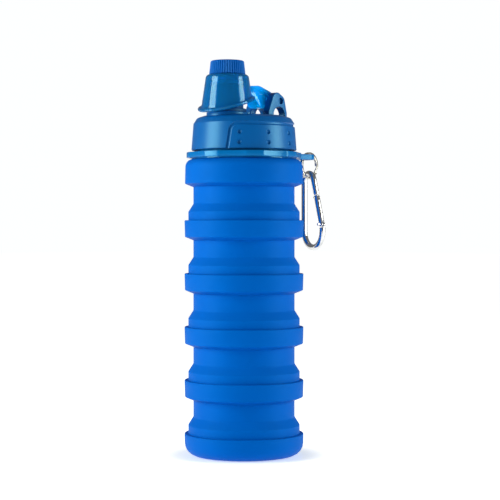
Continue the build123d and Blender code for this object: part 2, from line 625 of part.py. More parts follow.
def carabiner_frame():
    """The bent rod: over the top, down the spine and round the bottom to the gate's pivot."""
    nose_end = tuple(LATCH[i] + LATCH_NECK * GATE_DIRECTION[i] for i in range(2))
    below_touch = (PIVOT_NECK - GATE_SIDE * GATE_START) / HOOK_LOWER_BEND
    lean = degrees(GATE_LEAN)
    nose = Line(nose_end, UPPER_TOUCH)
    over = CenterArc(UPPER_CENTRE, HOOK_UPPER_BEND, lean, 180 - lean)
    spine = Line((0, UPPER_CENTRE[1]), (0, LOWER_CENTRE[1]))
    under = CenterArc(LOWER_CENTRE, HOOK_LOWER_BEND, 180, 180 + lean - degrees(below_touch))
    path = Wire([nose, over, spine, under])
    section = Plane(origin=path @ 0, z_dir=path % 0) * Circle(HOOK_ROD / 2)
    frame = sweep(section, path)
    frame += flat_end(PIVOT, -PIVOT_NECK - HOOK_ROD / 2)
    frame += flat_end(LATCH, LATCH_NECK + HOOK_ROD / 2)
    frame -= along_gate(PIVOT) * Cylinder(RIVET_RADIUS + PIN_GAP, HOOK_ROD)
    notch = Cylinder(LATCH_RADIUS + TONGUE_GAP, HOOK_ROD)
    notch += Pos(-HOOK_ROD / 2, 0, 0) * Box(HOOK_ROD, 2 * (LATCH_RADIUS + TONGUE_GAP), HOOK_ROD)
    frame -= along_gate(LATCH) * notch
    return HOOK_PLANE * frame


def carabiner_gate():
    """A straight rod with a slot in each end, which take the frame's flattened ends."""
    length = GATE_LENGTH + GATE_TIP
    full = Pos(0, length / 2, 0) * Rot(90, 0, 0) * Cylinder(HOOK_ROD / 2, length)
    foot = Rot(90, 0, 0) * Cylinder(HOOK_ROD / 2, HOOK_ROD) & Cylinder(HOOK_ROD / 2, HOOK_ROD)
    slot = Box(HOOK_ROD * 2, 2 * SLOT_DEPTH, TONGUE + 2 * TONGUE_GAP)
    gate = full + foot - slot - Pos(0, GATE_LENGTH, 0) * slot
    gate -= Cylinder(RIVET_RADIUS, HOOK_ROD * 2)
    gate -= Pos(0, GATE_LENGTH, 0) * Cylinder(LATCH_RADIUS, HOOK_ROD * 2)
    spring_top = SLOT_DEPTH + SPRING_LENGTH
    gate -= Pos(0, spring_top / 2, 0) * Rot(90, 0, 0) * Cylinder(SPRING_RADIUS + PIN_GAP, spring_top)
    return HOOK_PLANE * along_gate(PIVOT) * gate


def gate_rivet():
    return HOOK_PLANE * along_gate(PIVOT) * Cylinder(RIVET_RADIUS, HOOK_ROD)


def latch_pin():
    return HOOK_PLANE * along_gate(LATCH) * Cylinder(LATCH_RADIUS, HOOK_ROD + 2 * LATCH_OVERHANG)


def gate_spring():
    middle = SLOT_DEPTH + SPRING_LENGTH / 2
    wire = Pos(0, middle, 0) * Rot(90, 0, 0) * Cylinder(SPRING_RADIUS, SPRING_LENGTH)
    return HOOK_PLANE * along_gate(PIVOT) * wire


# ---------------------------------------------------------------- write each piece
pieces = {"base_cup": base_cup()}
for number, band_top in enumerate(BAND_TOPS, start=1):
    pieces[f"fold_web_{number}"] = fold_web(band_top)
    if number < FOLD_COUNT:
        pieces[f"fold_band_{number}"] = fold_band(band_top + FOLD_PITCH)
for make in (
    shoulder_band,
    neck_collar,
    neck_clamp_ring,
    lid_shell,
    lid_gasket,
    hinge_pin,
    drinking_spout,
    flip_cover,
    cover_gasket,
    ribbed_cap,
    cap_liner,
    split_ring,
    carabiner_frame,
    carabiner_gate,
    gate_rivet,
    latch_pin,
    gate_spring,
):
    pieces[make.__name__] = make()

os.makedirs("parts", exist_ok=True)
for name, shape in pieces.items():
    export_step(shape, f"parts/{name}.step")
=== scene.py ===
# %% [markdown]
# # A folding drinking bottle, piece by piece
# The bottle has a soft silicone body that pushes down on itself, a rigid collar with a screw
# thread, a screw lid with a spout under a hinged cover, and a snap hook on a key ring.
# The CAD frame gives the places and the main sizes. This file makes the surfaces that a buyer
# sees: moulded edges, tinted plastic, fine ribs and polished wire, and the finishes on them.

# %% Load the frame
from math import atan2, cos, pi, radians, sin, sqrt, tan

import bpy
from mathutils import Matrix, Vector


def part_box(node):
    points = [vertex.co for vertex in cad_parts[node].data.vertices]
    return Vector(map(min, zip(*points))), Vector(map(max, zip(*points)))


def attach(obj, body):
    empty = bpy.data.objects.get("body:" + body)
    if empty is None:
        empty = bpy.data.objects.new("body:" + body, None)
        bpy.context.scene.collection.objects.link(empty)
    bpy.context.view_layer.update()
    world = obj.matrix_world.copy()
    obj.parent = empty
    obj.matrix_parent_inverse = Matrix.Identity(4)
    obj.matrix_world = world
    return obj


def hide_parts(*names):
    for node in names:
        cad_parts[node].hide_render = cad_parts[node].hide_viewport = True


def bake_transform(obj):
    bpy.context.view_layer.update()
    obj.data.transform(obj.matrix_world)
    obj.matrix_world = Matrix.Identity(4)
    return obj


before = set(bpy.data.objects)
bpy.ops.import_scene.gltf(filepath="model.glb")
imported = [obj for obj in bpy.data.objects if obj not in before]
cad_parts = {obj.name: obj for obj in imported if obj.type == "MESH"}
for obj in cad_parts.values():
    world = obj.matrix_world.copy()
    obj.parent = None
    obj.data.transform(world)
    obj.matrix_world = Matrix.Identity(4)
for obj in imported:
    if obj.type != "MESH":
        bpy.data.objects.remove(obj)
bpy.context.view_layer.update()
MM = 0.001

# %% [markdown]
# ## The camera first
# A long lens from about a metre away, held level, keeps upright lines upright and the bands
# nearly straight. The lens is shifted a little, so that the bottle sits in the frame without
# the camera tilting.

# %% Camera
CAMERA_DISTANCE = 0.920
CAMERA_HEIGHT = 0.1344
CAMERA_TURN = -46.0     # degrees round the bottle; 0 looks along +Y
LENS = 111.6            # millimetres
SHIFT_ACROSS = 0.012    # shares of the frame's width
SHIFT_UP = -0.044
VIEW_END = 20.0         # metres, past the floor's far edge

turn = radians(CAMERA_TURN)
camera = bpy.data.objects.new("camera", bpy.data.cameras.new("camera"))
bpy.context.collection.objects.link(camera)
camera.location = (CAMERA_DISTANCE * sin(turn), -CAMERA_DISTANCE * cos(turn), CAMERA_HEIGHT)
camera.rotation_euler = (pi / 2, 0, turn)
camera.data.lens = LENS
camera.data.shift_x = SHIFT_ACROSS
camera.data.shift_y = SHIFT_UP
camera.data.clip_end = VIEW_END
bpy.context.scene.camera = camera
print("camera at", tuple(round(part, 3) for part in camera.location))

# %% [markdown]
# ## Light and floor
# The soft body shows two broad bright flanks and a darker middle. That is the mark of two tall
# soft boxes, one on each side, with nothing strong in front. The left one is the stronger.
# The room itself is bright, which keeps the background and the shadows pale.

# %% Soft boxes and floor
BOX_WIDTH = 0.40
BOX_TALL = 0.80
BOX_MIDDLE = 0.22       # height of a box's middle
BOX_AIM = 0.12          # height of the place that it faces
BOX_COLOUR = (1.0, 1.0, 0.88)
FLOOR_SIDE = 12


def soft_box(name, angle, reach, power):
    """An upright area light at this angle from the camera's line, facing the bottle."""
    data = bpy.data.lights.new(name, "AREA")
    data.shape = "RECTANGLE"
    data.size = BOX_WIDTH
    data.size_y = BOX_TALL
    data.energy = power
    data.color = BOX_COLOUR
    light = bpy.data.objects.new(name, data)
    bpy.context.collection.objects.link(light)
    around = turn + radians(angle)
    light.location = (reach * sin(around), -reach * cos(around), BOX_MIDDLE)
    aim = Vector((0, 0, BOX_AIM)) - light.location
    light.rotation_euler = aim.to_track_quat("-Z", "Y").to_euler()


soft_box("left_box", angle=-72, reach=0.75, power=9.4)
soft_box("right_box", angle=76, reach=0.85, power=8.3)

bpy.ops.mesh.primitive_plane_add(size=FLOOR_SIDE)
floor = bpy.context.object
floor.name = "floor"
print("soft boxes:", [light.name for light in bpy.data.lights])

# %% Room
ROOM_FILL = 0.17        # what the room adds to matte surfaces
ROOM_GLOSS = 0.15       # how bright it is in reflections
ROOM_SEEN = 1.02        # how bright it is in view and through clear plastic
ROOM_COLOUR = (0.97, 0.985, 1.0, 1)
ROOM_BY_RAY = {"Is Camera Ray": ROOM_SEEN, "Is Transmission Ray": ROOM_SEEN, "Is Glossy Ray": ROOM_GLOSS}

world = bpy.data.worlds.new("room")
bpy.context.scene.world = world
world.use_nodes = True
tree = world.node_tree
room = tree.nodes["Background"]
room.inputs["Color"].default_value = ROOM_COLOUR
ray = tree.nodes.new("ShaderNodeLightPath")
strength = None
for kind, level in ROOM_BY_RAY.items():
    choose = tree.nodes.new("ShaderNodeMix")    # inputs: 0 the factor, 2 and 3 the two numbers
    choose.inputs[2].default_value = ROOM_FILL
    choose.inputs[3].default_value = level
    tree.links.new(ray.outputs[kind], choose.inputs[0])
    if strength:
        tree.links.new(strength, choose.inputs[2])
    strength = choose.outputs[0]
tree.links.new(strength, room.inputs["Strength"])
bpy.context.scene.view_settings.view_transform = "Standard"
print("room strengths:", ROOM_BY_RAY)

# %% [markdown]
# ## Finishes as Python sums
# A finish is a small graph of nodes. Wiring it by hand hides the idea, so one class wraps a
# node's output and lets +, - and * build the Math nodes, and another adds any other node in one
# call. The finishes below then read like recipes.

# %% Shader helpers
class Link:
    """An output of a node, with the arithmetic that the finishes use."""

    def __init__(self, finish, output):
        self.finish = finish
        self.output = output

    def math(self, operation, first, second):
        return self.finish.node("ShaderNodeMath", {"operation": operation}, [first, second])

    def __add__(self, other):
        return self.math("ADD", self, other)

    def __mul__(self, other):
        return self.math("MULTIPLY", self, other)

    def __rsub__(self, other):
        return self.math("SUBTRACT", other, self)

    __radd__ = __add__
    __rmul__ = __mul__


class Finish:
    """One material: a Principled shader, and a method that adds any node to it."""

    def __init__(self, name, **sockets):
        self.material = bpy.data.materials.new(name)
        self.material.use_nodes = True
        self.tree = self.material.node_tree
        self.shader = self.tree.nodes["Principled BSDF"]
        for socket, value in sockets.items():
            self.set(socket.replace("_", " "), value)

    def set(self, socket, value):
        self.feed(self.shader.inputs[socket], value)

    def feed(self, target, value):
        if isinstance(value, Link):
            self.tree.links.new(value.output, target)
        else:
            target.default_value = value

    def node(self, kind, settings=None, inputs=(), output=0):
        """Adds a node: its settings first, then its inputs, by place or by name."""
        made = self.tree.nodes.new(kind)
        for key, value in (settings or {}).items():
            setattr(made, key, value)
        named = inputs.items() if isinstance(inputs, dict) else enumerate(inputs)
        for key, value in named:
            self.feed(made.inputs[key], value)
        return Link(self, made.outputs[output])

    def place(self):
        return self.node("ShaderNodeTexCoord", output="Object")

    def noise(self, scale, detail=2.0, rough=0.5):
        sockets = {"Vector": self.place(), "Scale": scale, "Detail": detail, "Roughness": rough}
        return self.node("ShaderNodeTexNoise", {}, sockets)

    def blend(self, factor, low, high):
        """A colour between two, by a factor from 0 to 1."""
        sockets = {0: factor, 6: low, 7: high}
        return self.node("ShaderNodeMix", {"data_type": "RGBA"}, sockets, output=2)

    def ramp(self, value, start, end):
        """Rises smoothly from 0 at the start to 1 at the end."""
        sockets = {"Value": value, "From Min": start, "From Max": end}
        return self.node("ShaderNodeMapRange", {"interpolation_type": "SMOOTHSTEP"}, sockets)

    def bumps(self, height, distance, strength):
        """Fine relief, its distance in metres."""
        sockets = {"Height": height, "Distance": distance, "Strength": strength}
        self.set("Normal", self.node("ShaderNodeBump", {}, sockets))


print("helpers ready")

# %% [markdown]
# ## The finishes
# Silicone is matte with a faint skin: a broad soft highlight and a grain of a few hundredths
# of a millimetre. The collar, lid, spout and cap are blue plastics, more or less polished.
# The cover is clear tinted plastic, which lets light through. The web of its arm also has a
# painted glow, an emission that stands in for the light coming out where the wall is thin.
# The hook is tumbled aluminium, and the key ring is nickel-plated steel. Noise at two scales,
# a slow cloud in the colour and a finer one in the polish, keeps them from looking flat.

# %% Silicone
def silicone():
    """Matte rubber: a slow cloud in its blue, and a grain that breaks up the highlight."""
    finish = Finish("silicone_azure", Specular_IOR_Level=0.07, Specular_Tint=(0.0, 0.7, 1.0, 1))
    cloud = finish.noise(scale=28.0, detail=3.0)
    finish.set("Base Color", finish.blend(cloud, (0.0, 0.096, 0.470, 1), (0.0, 0.110, 0.520, 1)))
    finish.set("Roughness", 0.46 + 0.10 * finish.noise(scale=60.0))
    finish.bumps(finish.noise(scale=2600.0, detail=1.0), distance=0.00003, strength=0.5)
    return finish.material


SILICONE = silicone()

# %% Blue plastics
def plastic(name, low, high, gloss, grain, shine=0.5):
    """Moulded plastic: two close blues in a slow cloud, and a fine uneven polish."""
    finish = Finish(name, Specular_IOR_Level=shine, Specular_Tint=(0.28, 0.85, 1.0, 1))
    finish.set("Base Color", finish.blend(finish.noise(scale=35.0), low, high))
    finish.set("Roughness", gloss + 0.08 * finish.noise(scale=180.0, detail=3.0))
    finish.bumps(finish.noise(scale=1500.0), distance=grain, strength=0.4)
    return finish.material


COARSE = 0.00003        # depth of a plastic's grain, in metres
FINE = 0.00001

LID_BLUE = plastic(
    "lid_satin_blue", (0.000, 0.082, 0.320, 1), (0.000, 0.094, 0.355, 1), gloss=0.30, grain=COARSE
)
COLLAR_BLUE = plastic(
    "collar_gloss_blue", (0.000, 0.120, 0.390, 1), (0.000, 0.135, 0.430, 1), gloss=0.14, grain=FINE
)
CAP_BLUE = plastic(
    "cap_satin_blue", (0.000, 0.080, 0.390, 1), (0.000, 0.090, 0.420, 1), gloss=0.44, grain=COARSE, shine=0.2
)
SPOUT_BLUE = plastic(
    "spout_matte_blue", (0.001, 0.030, 0.140, 1), (0.001, 0.036, 0.170, 1), gloss=0.5, grain=COARSE
)


# %% Clear tinted plastic
PAINTED_GLOW_RISE = (0.000, 0.005)       # where the arm's painted glow comes and goes, in metres along X
PAINTED_GLOW_FALL = (0.012, 0.017)
# strength of the painted glow on the arm's web
PAINTED_WEB_GLOW = 0.30
NO_PAINTED_GLOW = (0, 0, 0, 1)


def tinted():
    """Dyed clear plastic; the web of the arm has a painted glow, an emission standing in for light through
    the thin wall.
    """
    finish = Finish("cover_tinted_blue", IOR=1.49, Specular_IOR_Level=0.5, Specular_Tint=(0.5, 0.9, 1.0, 1))
    cloud = finish.noise(scale=20.0)
    finish.set("Base Color", finish.blend(cloud, (0.000, 0.270, 0.740, 1), (0.000, 0.310, 0.800, 1)))
    finish.set("Roughness", 0.05 + 0.04 * finish.noise(scale=90.0))
    finish.set("Transmission Weight", 0.72)
    along = finish.node("ShaderNodeSeparateXYZ", {}, [finish.place()], output="X")
    # painted glow: the arm's web shines by emission, standing in for light through its thin wall
    web = finish.ramp(along, *PAINTED_GLOW_RISE) * (1 - finish.ramp(along, *PAINTED_GLOW_FALL))
    finish.set("Emission Color", finish.blend(web, NO_PAINTED_GLOW, (0.0, 0.45, 1.0, 1)))
    finish.set("Emission Strength", PAINTED_WEB_GLOW)
    return finish.material


TINTED = tinted()


# %% Metals and seals
MOTTLE = 0.92           # how dark the darkest spots are


def metal(name, colour, gloss, scratch):
    """Metal whose fine mottle shows in its colour, and as a hair of relief."""
    finish = Finish(name, Metallic=1.0)
    wear = finish.noise(scale=700.0, detail=4.0, rough=0.7)
    darker = (*(MOTTLE * part for part in colour[:3]), 1)
    finish.set("Base Color", finish.blend(wear, colour, darker))
    finish.set("Roughness", gloss + 0.10 * finish.noise(scale=420.0, detail=3.0))
    finish.bumps(wear, distance=scratch, strength=0.25)
    return finish.material


POLISHED = metal("tumbled_aluminium", (0.90, 0.90, 0.90, 1), gloss=0.10, scratch=0.00001)
NICKEL = metal("nickel_plate", (0.72, 0.69, 0.64, 1), gloss=0.12, scratch=0.00001)
STEEL = metal("plain_steel", (0.45, 0.43, 0.40, 1), gloss=0.25, scratch=0.00002)


def seal():
    """White sealing rubber that lets a little light in."""
    finish = Finish("seal_white", Subsurface_Weight=0.2)
    cloud = finish.noise(scale=50.0)
    finish.set("Base Color", finish.blend(cloud, (0.62, 0.66, 0.68, 1), (0.70, 0.73, 0.75, 1)))
    finish.set("Roughness", 0.5 + 0.1 * finish.noise(scale=200.0))
    return finish.material


SEAL = seal()

# %% Floor finish
PAINTED_SHADOW_START = 0.034       # distances from the bottle's axis, in metres, over which the painted contact shadow fades out
PAINTED_SHADOW_END = 0.056
# the floor's glow under the painted contact shadow, darker than the rest
FLOOR_PAINTED_SHADOW = (0.40, 0.43, 0.44, 1)
FLOOR_FAR = (0.86, 0.86, 0.85, 1)
FLOOR_BOUNCE = (0.42, 0.43, 0.44, 1)


def floor_finish():
    """White all over in view, with a painted contact shadow where the base stands, and dimmer as a bounce
    card.
    """
    finish = Finish("floor_white", Specular_IOR_Level=0.3, Emission_Strength=1.0)
    cloud = finish.noise(scale=2.0)
    finish.set("Base Color", finish.blend(cloud, (0.93, 0.93, 0.93, 1), (0.95, 0.95, 0.95, 1)))
    finish.set("Roughness", 0.30 + 0.05 * finish.noise(scale=3.0))
    reach = finish.node("ShaderNodeVectorMath", {"operation": "LENGTH"}, [finish.place()], output="Value")
    # painted shadow: the floor's glow is darker close to the bottle's base
    away = finish.ramp(reach, PAINTED_SHADOW_START, PAINTED_SHADOW_END)
    shown = finish.blend(away, FLOOR_PAINTED_SHADOW, FLOOR_FAR)
    viewed = finish.node("ShaderNodeLightPath", output="Is Camera Ray")
    finish.set("Emission Color", finish.blend(viewed, FLOOR_BOUNCE, shown))
    return finish.material


floor.data.materials.append(floor_finish())
print("finishes:", [material.name for material in bpy.data.materials])

# %% [markdown]
# ## Turned shapes
# Almost every part of a bottle is round, so its shape is an outline. By hand this is a circle
# that is extruded and scaled, again and again, up the outside and down the inside. The helper
# does exactly that. Corners are rounded in the outline first, because a moulded edge always
# has a small radius, and that is the line of light that makes an edge look real.

# %% Outline and turning helpers
SEGMENTS = 160              # round the body and the lid
SMALL_SEGMENTS = 96         # round the spout, the ears' arch and the hinge
TOUCHING = 1e-6             # closer than this is the same place
SMOOTH_ANGLE = radians(32)


def rounded(corners, steps=5):
    """Corners (across, up, rounding) become plain points, each rounding an arc of a few points."""
    points = []
    count = len(corners)
    for index, corner in enumerate(corners):
        here = Vector(corner[:2])
        radius = corner[2] if len(corner) > 2 else 0
        if not radius:
            points.append(here)
            continue
        before = (Vector(corners[index - 1][:2]) - here).normalized()
        after = (Vector(corners[(index + 1) % count][:2]) - here).normalized()
        half = before.angle(after) / 2
        centre = here + (before + after).normalized() * radius / sin(half)
        start = here + before * radius / tan(half) - centre
        end = here + after * radius / tan(half) - centre
        sweep = start.angle_signed(end)
        for step in range(steps + 1):
            around = -sweep * step / steps
            points.append(centre + Matrix.Rotation(around, 2) @ start)
    return points


def edit(thing, mode):
    """Makes one object the only selected one and enters this mode."""
    if bpy.context.object and bpy.context.object.mode != "OBJECT":
        bpy.ops.object.mode_set(mode="OBJECT")
    bpy.ops.object.select_all(action="DESELECT")
    bpy.context.view_layer.objects.active = thing
    thing.select_set(True)
    bpy.ops.object.mode_set(mode=mode)


def settle(thing, name):
    """Names a piece, puts its place in its mesh and shades it smooth across gentle edges."""
    edit(thing, "OBJECT")
    thing.name = name
    bpy.ops.object.transform_apply(location=True, rotation=True, scale=True)
    bpy.ops.object.shade_smooth_by_angle(angle=SMOOTH_ANGLE)
    return thing


def turned(name, corners, centre=(0, 0), segments=SEGMENTS, solid=False):
    """A ring or, if solid, a body whose outline starts and ends on the axis, in millimetres."""
    points = rounded(corners)
    if solid:
        points = [point for point in points if point.x > TOUCHING]
    across, up = points[0]
    bpy.ops.object.select_all(action="DESELECT")
    place = (centre[0] * MM, centre[1] * MM, up * MM)
    bpy.ops.mesh.primitive_circle_add(vertices=segments, radius=across * MM, location=place)
    thing = bpy.context.object
    edit(thing, "EDIT")
    bpy.ops.mesh.select_all(action="SELECT")
    if solid:
        bpy.ops.mesh.edge_face_add()
    route = points[1:] if solid else points[1:] + points[:1]
    for next_across, next_up in route:
        bpy.ops.mesh.extrude_region_move(TRANSFORM_OT_translate={"value": (0, 0, (next_up - up) * MM)})
        scale = next_across / across
        pivot = (centre[0] * MM, centre[1] * MM, next_up * MM)
        bpy.ops.transform.resize(value=(scale, scale, 1), center_override=pivot)
        across = next_across
        up = next_up
    bpy.ops.mesh.select_all(action="SELECT")
    bpy.ops.mesh.remove_doubles(threshold=TOUCHING)
    bpy.ops.mesh.normals_make_consistent(inside=False)
    bpy.ops.object.mode_set(mode="OBJECT")
    return settle(thing, name)


def finished(thing, material, body, slot, *nodes):
    """Gives a piece its finish, hides the CAD nodes that it stands for and, if a body is named, puts it on
    that body.
    """
    thing.data.materials.clear()
    thing.data.materials.append(material)
    if body:
        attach(thing, body)
    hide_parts(*nodes)
    print(thing.name, len(thing.data.polygons), "faces")


def node_box(name):
    """A CAD node's lowest and highest corners, in millimetres."""
    return [[value / MM for value in corner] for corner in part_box(name)]


# %% [markdown]
# ## The soft body
# The real body is one moulding. Stiff bands stand 5 mm proud, and between them a thin cone
# turns inside out when the bottle is pushed down. Here the body is made as rigid bands and
# thin sleeves. A sleeve runs from under one band, down its cone, to the top of the band below,
# so the joins lie in the moulded creases where the eye expects a line.

# %% Sizes of the soft body, in millimetres
STEP_HEIGHT = 5.0
WEB_HEIGHT = 4.7
BAND_HEIGHT = 9.9
BAND_SLOPE = 2.0
BAND_RADIUS = 35.0
STEP_RADIUS = 33.0
WAIST_RADIUS = 30.0
SOFT_WALL = 1.8
LIP = 1.2                   # thickness of a band's lip, where it meets the sleeve
BODY_BORE = STEP_RADIUS - SOFT_WALL
BASE_BORE = 31.8
SOFT_EDGE = 0.55
BASE_ROUND = 7.5
BASE_FLOOR = 2.5
FOOT_RING = 21.0            # the base stands on its rim, outside this radius
FOOT_LIFT = 0.6
band_top = node_box("fold_band_1")[1]
BAND_TOP_RADIUS = band_top[0]
PITCH = node_box("fold_band_2")[1][2] - band_top[2]
BASE_TOP = node_box("base_cup")[1][2] - STEP_HEIGHT
band_bodies = ["band_1", "band_2", "band_3", "band_4"]
print("bands", round(PITCH, 3), "apart, from", round(BASE_TOP, 3), "up")

# %% Base and bands
base = turned(
    "base_cup_soft",
    [
        (0, FOOT_LIFT),
        (FOOT_RING - 1.0, FOOT_LIFT, 0.4),
        (FOOT_RING, 0, 0.4),
        (BAND_RADIUS, 0, BASE_ROUND),
        (BAND_TOP_RADIUS, BASE_TOP, SOFT_EDGE),
        (BASE_BORE, BASE_TOP),
        (BASE_BORE, BASE_FLOOR, 5.0),
        (0, BASE_FLOOR),
    ],
    solid=True,
)
finished(base, SILICONE, "base", "silicone", "base_cup")

for number, body in enumerate(band_bodies, start=1):
    top = BASE_TOP + PITCH * number
    foot = top - BAND_HEIGHT
    band = turned(
        f"band_{number}_soft",
        [
            (BODY_BORE, foot),
            (WAIST_RADIUS - LIP, foot - BAND_SLOPE),
            (WAIST_RADIUS, foot - BAND_SLOPE),
            (BAND_RADIUS, foot, SOFT_EDGE),
            (BAND_TOP_RADIUS, top, SOFT_EDGE),
            (BODY_BORE, top),
        ],
    )
    finished(band, SILICONE, body, "silicone", f"fold_band_{number}")

# %% Shoulder
SHOULDER_DRAFT = 0.3
SHOULDER_ROUND = 4.5
SHOULDER_WALL = 3.0         # the soft top that the collar grips
NECK_HOLE = 25.5
shoulder_top = node_box("shoulder_band")[1][2]
shoulder_foot = BASE_TOP + PITCH * 5 - BAND_HEIGHT
shoulder = turned(
    "shoulder_soft",
    [
        (BODY_BORE, shoulder_foot),
        (WAIST_RADIUS - LIP, shoulder_foot - BAND_SLOPE),
        (WAIST_RADIUS, shoulder_foot - BAND_SLOPE),
        (BAND_RADIUS, shoulder_foot, SOFT_EDGE),
        (BAND_RADIUS - SHOULDER_DRAFT, shoulder_top, SHOULDER_ROUND),
        (NECK_HOLE, shoulder_top),
        (NECK_HOLE, shoulder_top - SHOULDER_WALL),
        (BODY_BORE, shoulder_top - SHOULDER_WALL, 1.2),
    ],
)
finished(shoulder, SILICONE, "shoulder", "silicone", "shoulder_band")

# %% Sleeves between the bands
CREASE_STEPS = 8            # points down the cone, so that it can turn over smoothly
TUCK = 0.8                  # how far a sleeve's ends lie inside its bands
for number in range(1, 6):
    top = BASE_TOP + PITCH * (number - 1)
    web_foot = top + STEP_HEIGHT
    web_top = web_foot + WEB_HEIGHT
    waist_top = top + PITCH - BAND_HEIGHT - BAND_SLOPE
    outside = [(STEP_RADIUS, top - TUCK), (STEP_RADIUS, web_foot, 1.0)]
    for step in range(1, CREASE_STEPS):
        share = step / CREASE_STEPS
        across = STEP_RADIUS + (WAIST_RADIUS - STEP_RADIUS) * share
        outside.append((across, web_foot + WEB_HEIGHT * share))
    outside += [(WAIST_RADIUS, web_top, 1.4), (WAIST_RADIUS, waist_top + TUCK)]
    inside = [(corner[0] - SOFT_WALL, *corner[1:]) for corner in reversed(outside)]
    sleeve = turned(f"sleeve_{number}_soft", outside + inside)
    finished(sleeve, SILICONE, None, "silicone", f"fold_web_{number}")
    web_top * MM
    web_foot * MM
    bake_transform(sleeve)

# %% [markdown]
# ## Flat plates
# The collar's flange, the hinge's ears and the cover's arm are plates with a drawn outline.
# A circle with one vertex for each outline point is pulled to that outline, filled and
# extruded. A bevel then gives it moulded edges.

# %% Modifier, plate and boolean helpers
def modify(thing, kind, **settings):
    """Adds one modifier, with these settings, and applies it."""
    edit(thing, "OBJECT")
    modifier = thing.modifiers.new(kind.lower(), kind)
    for key, value in settings.items():
        setattr(modifier, key, value)
    bpy.ops.object.modifier_apply(modifier=modifier.name)


def bevel(thing, width, segments=3, sharper_than=40):
    """Rounds the edges that turn by more than this many degrees."""
    limit = radians(sharper_than)
    modify(thing, "BEVEL", width=width * MM, segments=segments, limit_method="ANGLE", angle_limit=limit)


def plate(name, points, low, high, flat="Z", edge=0.0):
    """A plate with this outline; flat is the axis of its thickness, and edge its bevel."""
    bpy.ops.object.select_all(action="DESELECT")
    bpy.ops.mesh.primitive_circle_add(vertices=len(points), radius=MM)
    thing = bpy.context.object
    for vertex, (across, up) in zip(thing.data.vertices, points):
        place = (across, up, low) if flat == "Z" else (across, low, up)
        vertex.co = Vector(place) * MM
    edit(thing, "EDIT")
    bpy.ops.mesh.select_all(action="SELECT")
    bpy.ops.mesh.edge_face_add()
    lift = (0, 0, (high - low) * MM) if flat == "Z" else (0, (high - low) * MM, 0)
    bpy.ops.mesh.extrude_region_move(TRANSFORM_OT_translate={"value": lift})
    bpy.ops.mesh.select_all(action="SELECT")
    bpy.ops.mesh.normals_make_consistent(inside=False)
    bpy.ops.object.mode_set(mode="OBJECT")
    if edge:
        bevel(thing, edge)
    return settle(thing, name)


def combine(thing, other, operation):
    """Joins or cuts with another solid, which is used up."""
    modify(thing, "BOOLEAN", object=other, operation=operation, solver="EXACT")
    bpy.data.objects.remove(other)
    settle(thing, thing.name)


def bar(radius, start, end, segments=64):
    """A round bar between two places, used as a pin or to cut a hole."""
    start = Vector(start) * MM
    end = Vector(end) * MM
    run = end - start
    bpy.ops.object.select_all(action="DESELECT")
    bpy.ops.mesh.primitive_cylinder_add(
        vertices=segments, radius=radius * MM, depth=run.length, location=(start + end) / 2,
        rotation=run.to_track_quat("Z", "Y").to_euler(),
    )
    return settle(bpy.context.object, "bar")


THREAD_SUNK = 0.25          # how deep a ridge's root lies in its wall
THREAD_ROOT = 0.22          # half widths of a ridge's root and crest, as shares of the pitch
THREAD_CREST = 0.10
THREAD_STEPS = 96           # for each turn


def thread(radius, depth, pitch, foot, turns, centre=(0, 0)):
    """A right-hand thread ridge: its section turned up a helix; a negative depth points inwards."""
    sunk = THREAD_SUNK if depth > 0 else -THREAD_SUNK
    section = [
        (-sunk, -THREAD_ROOT),
        (depth, -THREAD_CREST),
        (depth, THREAD_CREST),
        (-sunk, THREAD_ROOT),
    ]
    bpy.ops.object.select_all(action="DESELECT")
    bpy.ops.mesh.primitive_circle_add(vertices=len(section), radius=MM)
    thing = bpy.context.object
    for vertex, (out, up) in zip(thing.data.vertices, section):
        vertex.co = Vector((radius + out, 0, foot + up * pitch)) * MM
    steps = round(THREAD_STEPS * turns)
    rise = pitch * turns * MM
    modify(thing, "SCREW", angle=2 * pi * turns, screw_offset=rise, steps=steps, render_steps=steps)
    edit(thing, "EDIT")
    bpy.ops.mesh.select_all(action="SELECT")
    bpy.ops.mesh.fill_holes(sides=0)
    bpy.ops.mesh.normals_make_consistent(inside=False)
    bpy.ops.object.mode_set(mode="OBJECT")
    thing.location = (centre[0] * MM, centre[1] * MM, 0)
    return settle(thing, "thread")


def join(thing, *others):
    """Makes several meshes one piece."""
    name = thing.name
    edit(thing, "OBJECT")
    for other in others:
        other.select_set(True)
    bpy.ops.object.join()
    settle(thing, name)


# %% [markdown]
# ## The collar
# The collar is a glossy ring with shallow scallops, so it is easy to hold while the lid is
# turned. Where an eighth scallop would be, a tab stands out with a hole for the key ring. A
# threaded neck stands on the ring, and a plain tube reaches down through the soft top. Each is
# drawn as a simple solid first, and booleans make them one moulding.

# %% Collar
collar_low, collar_high = node_box("neck_collar")
FLANGE_RADIUS = 34.05
FLANGE_FOOT = shoulder_top + 0.6
FLANGE_TOP = FLANGE_FOOT + 3.3
SCALLOPS = 8
SCALLOP_HALF = radians(14.0)
SCALLOP_DEPTH = 1.5
TAB_TURN = radians(-12.5)
TAB_REACH = 49.7
TAB_ROOT = 7.4              # half widths at the flange and at the tip
TAB_TIP = 5.2
TAB_ROUND = 5.0
TAB_SUNK = 1.2              # how far its root lies inside the flange's edge
TAB_CLEAR = 0.6             # the edge's points stop this far beside it
TAB_HOLE = 3.3
TAB_HOLE_REACH = 44.2
RIM_STEPS = 480
NECK_ROOT = 27.4
NECK_BORE = 22.8
NECK_TUBE = 25.4
LID_PITCH = 4.0
THREAD_DEPTH = 1.2


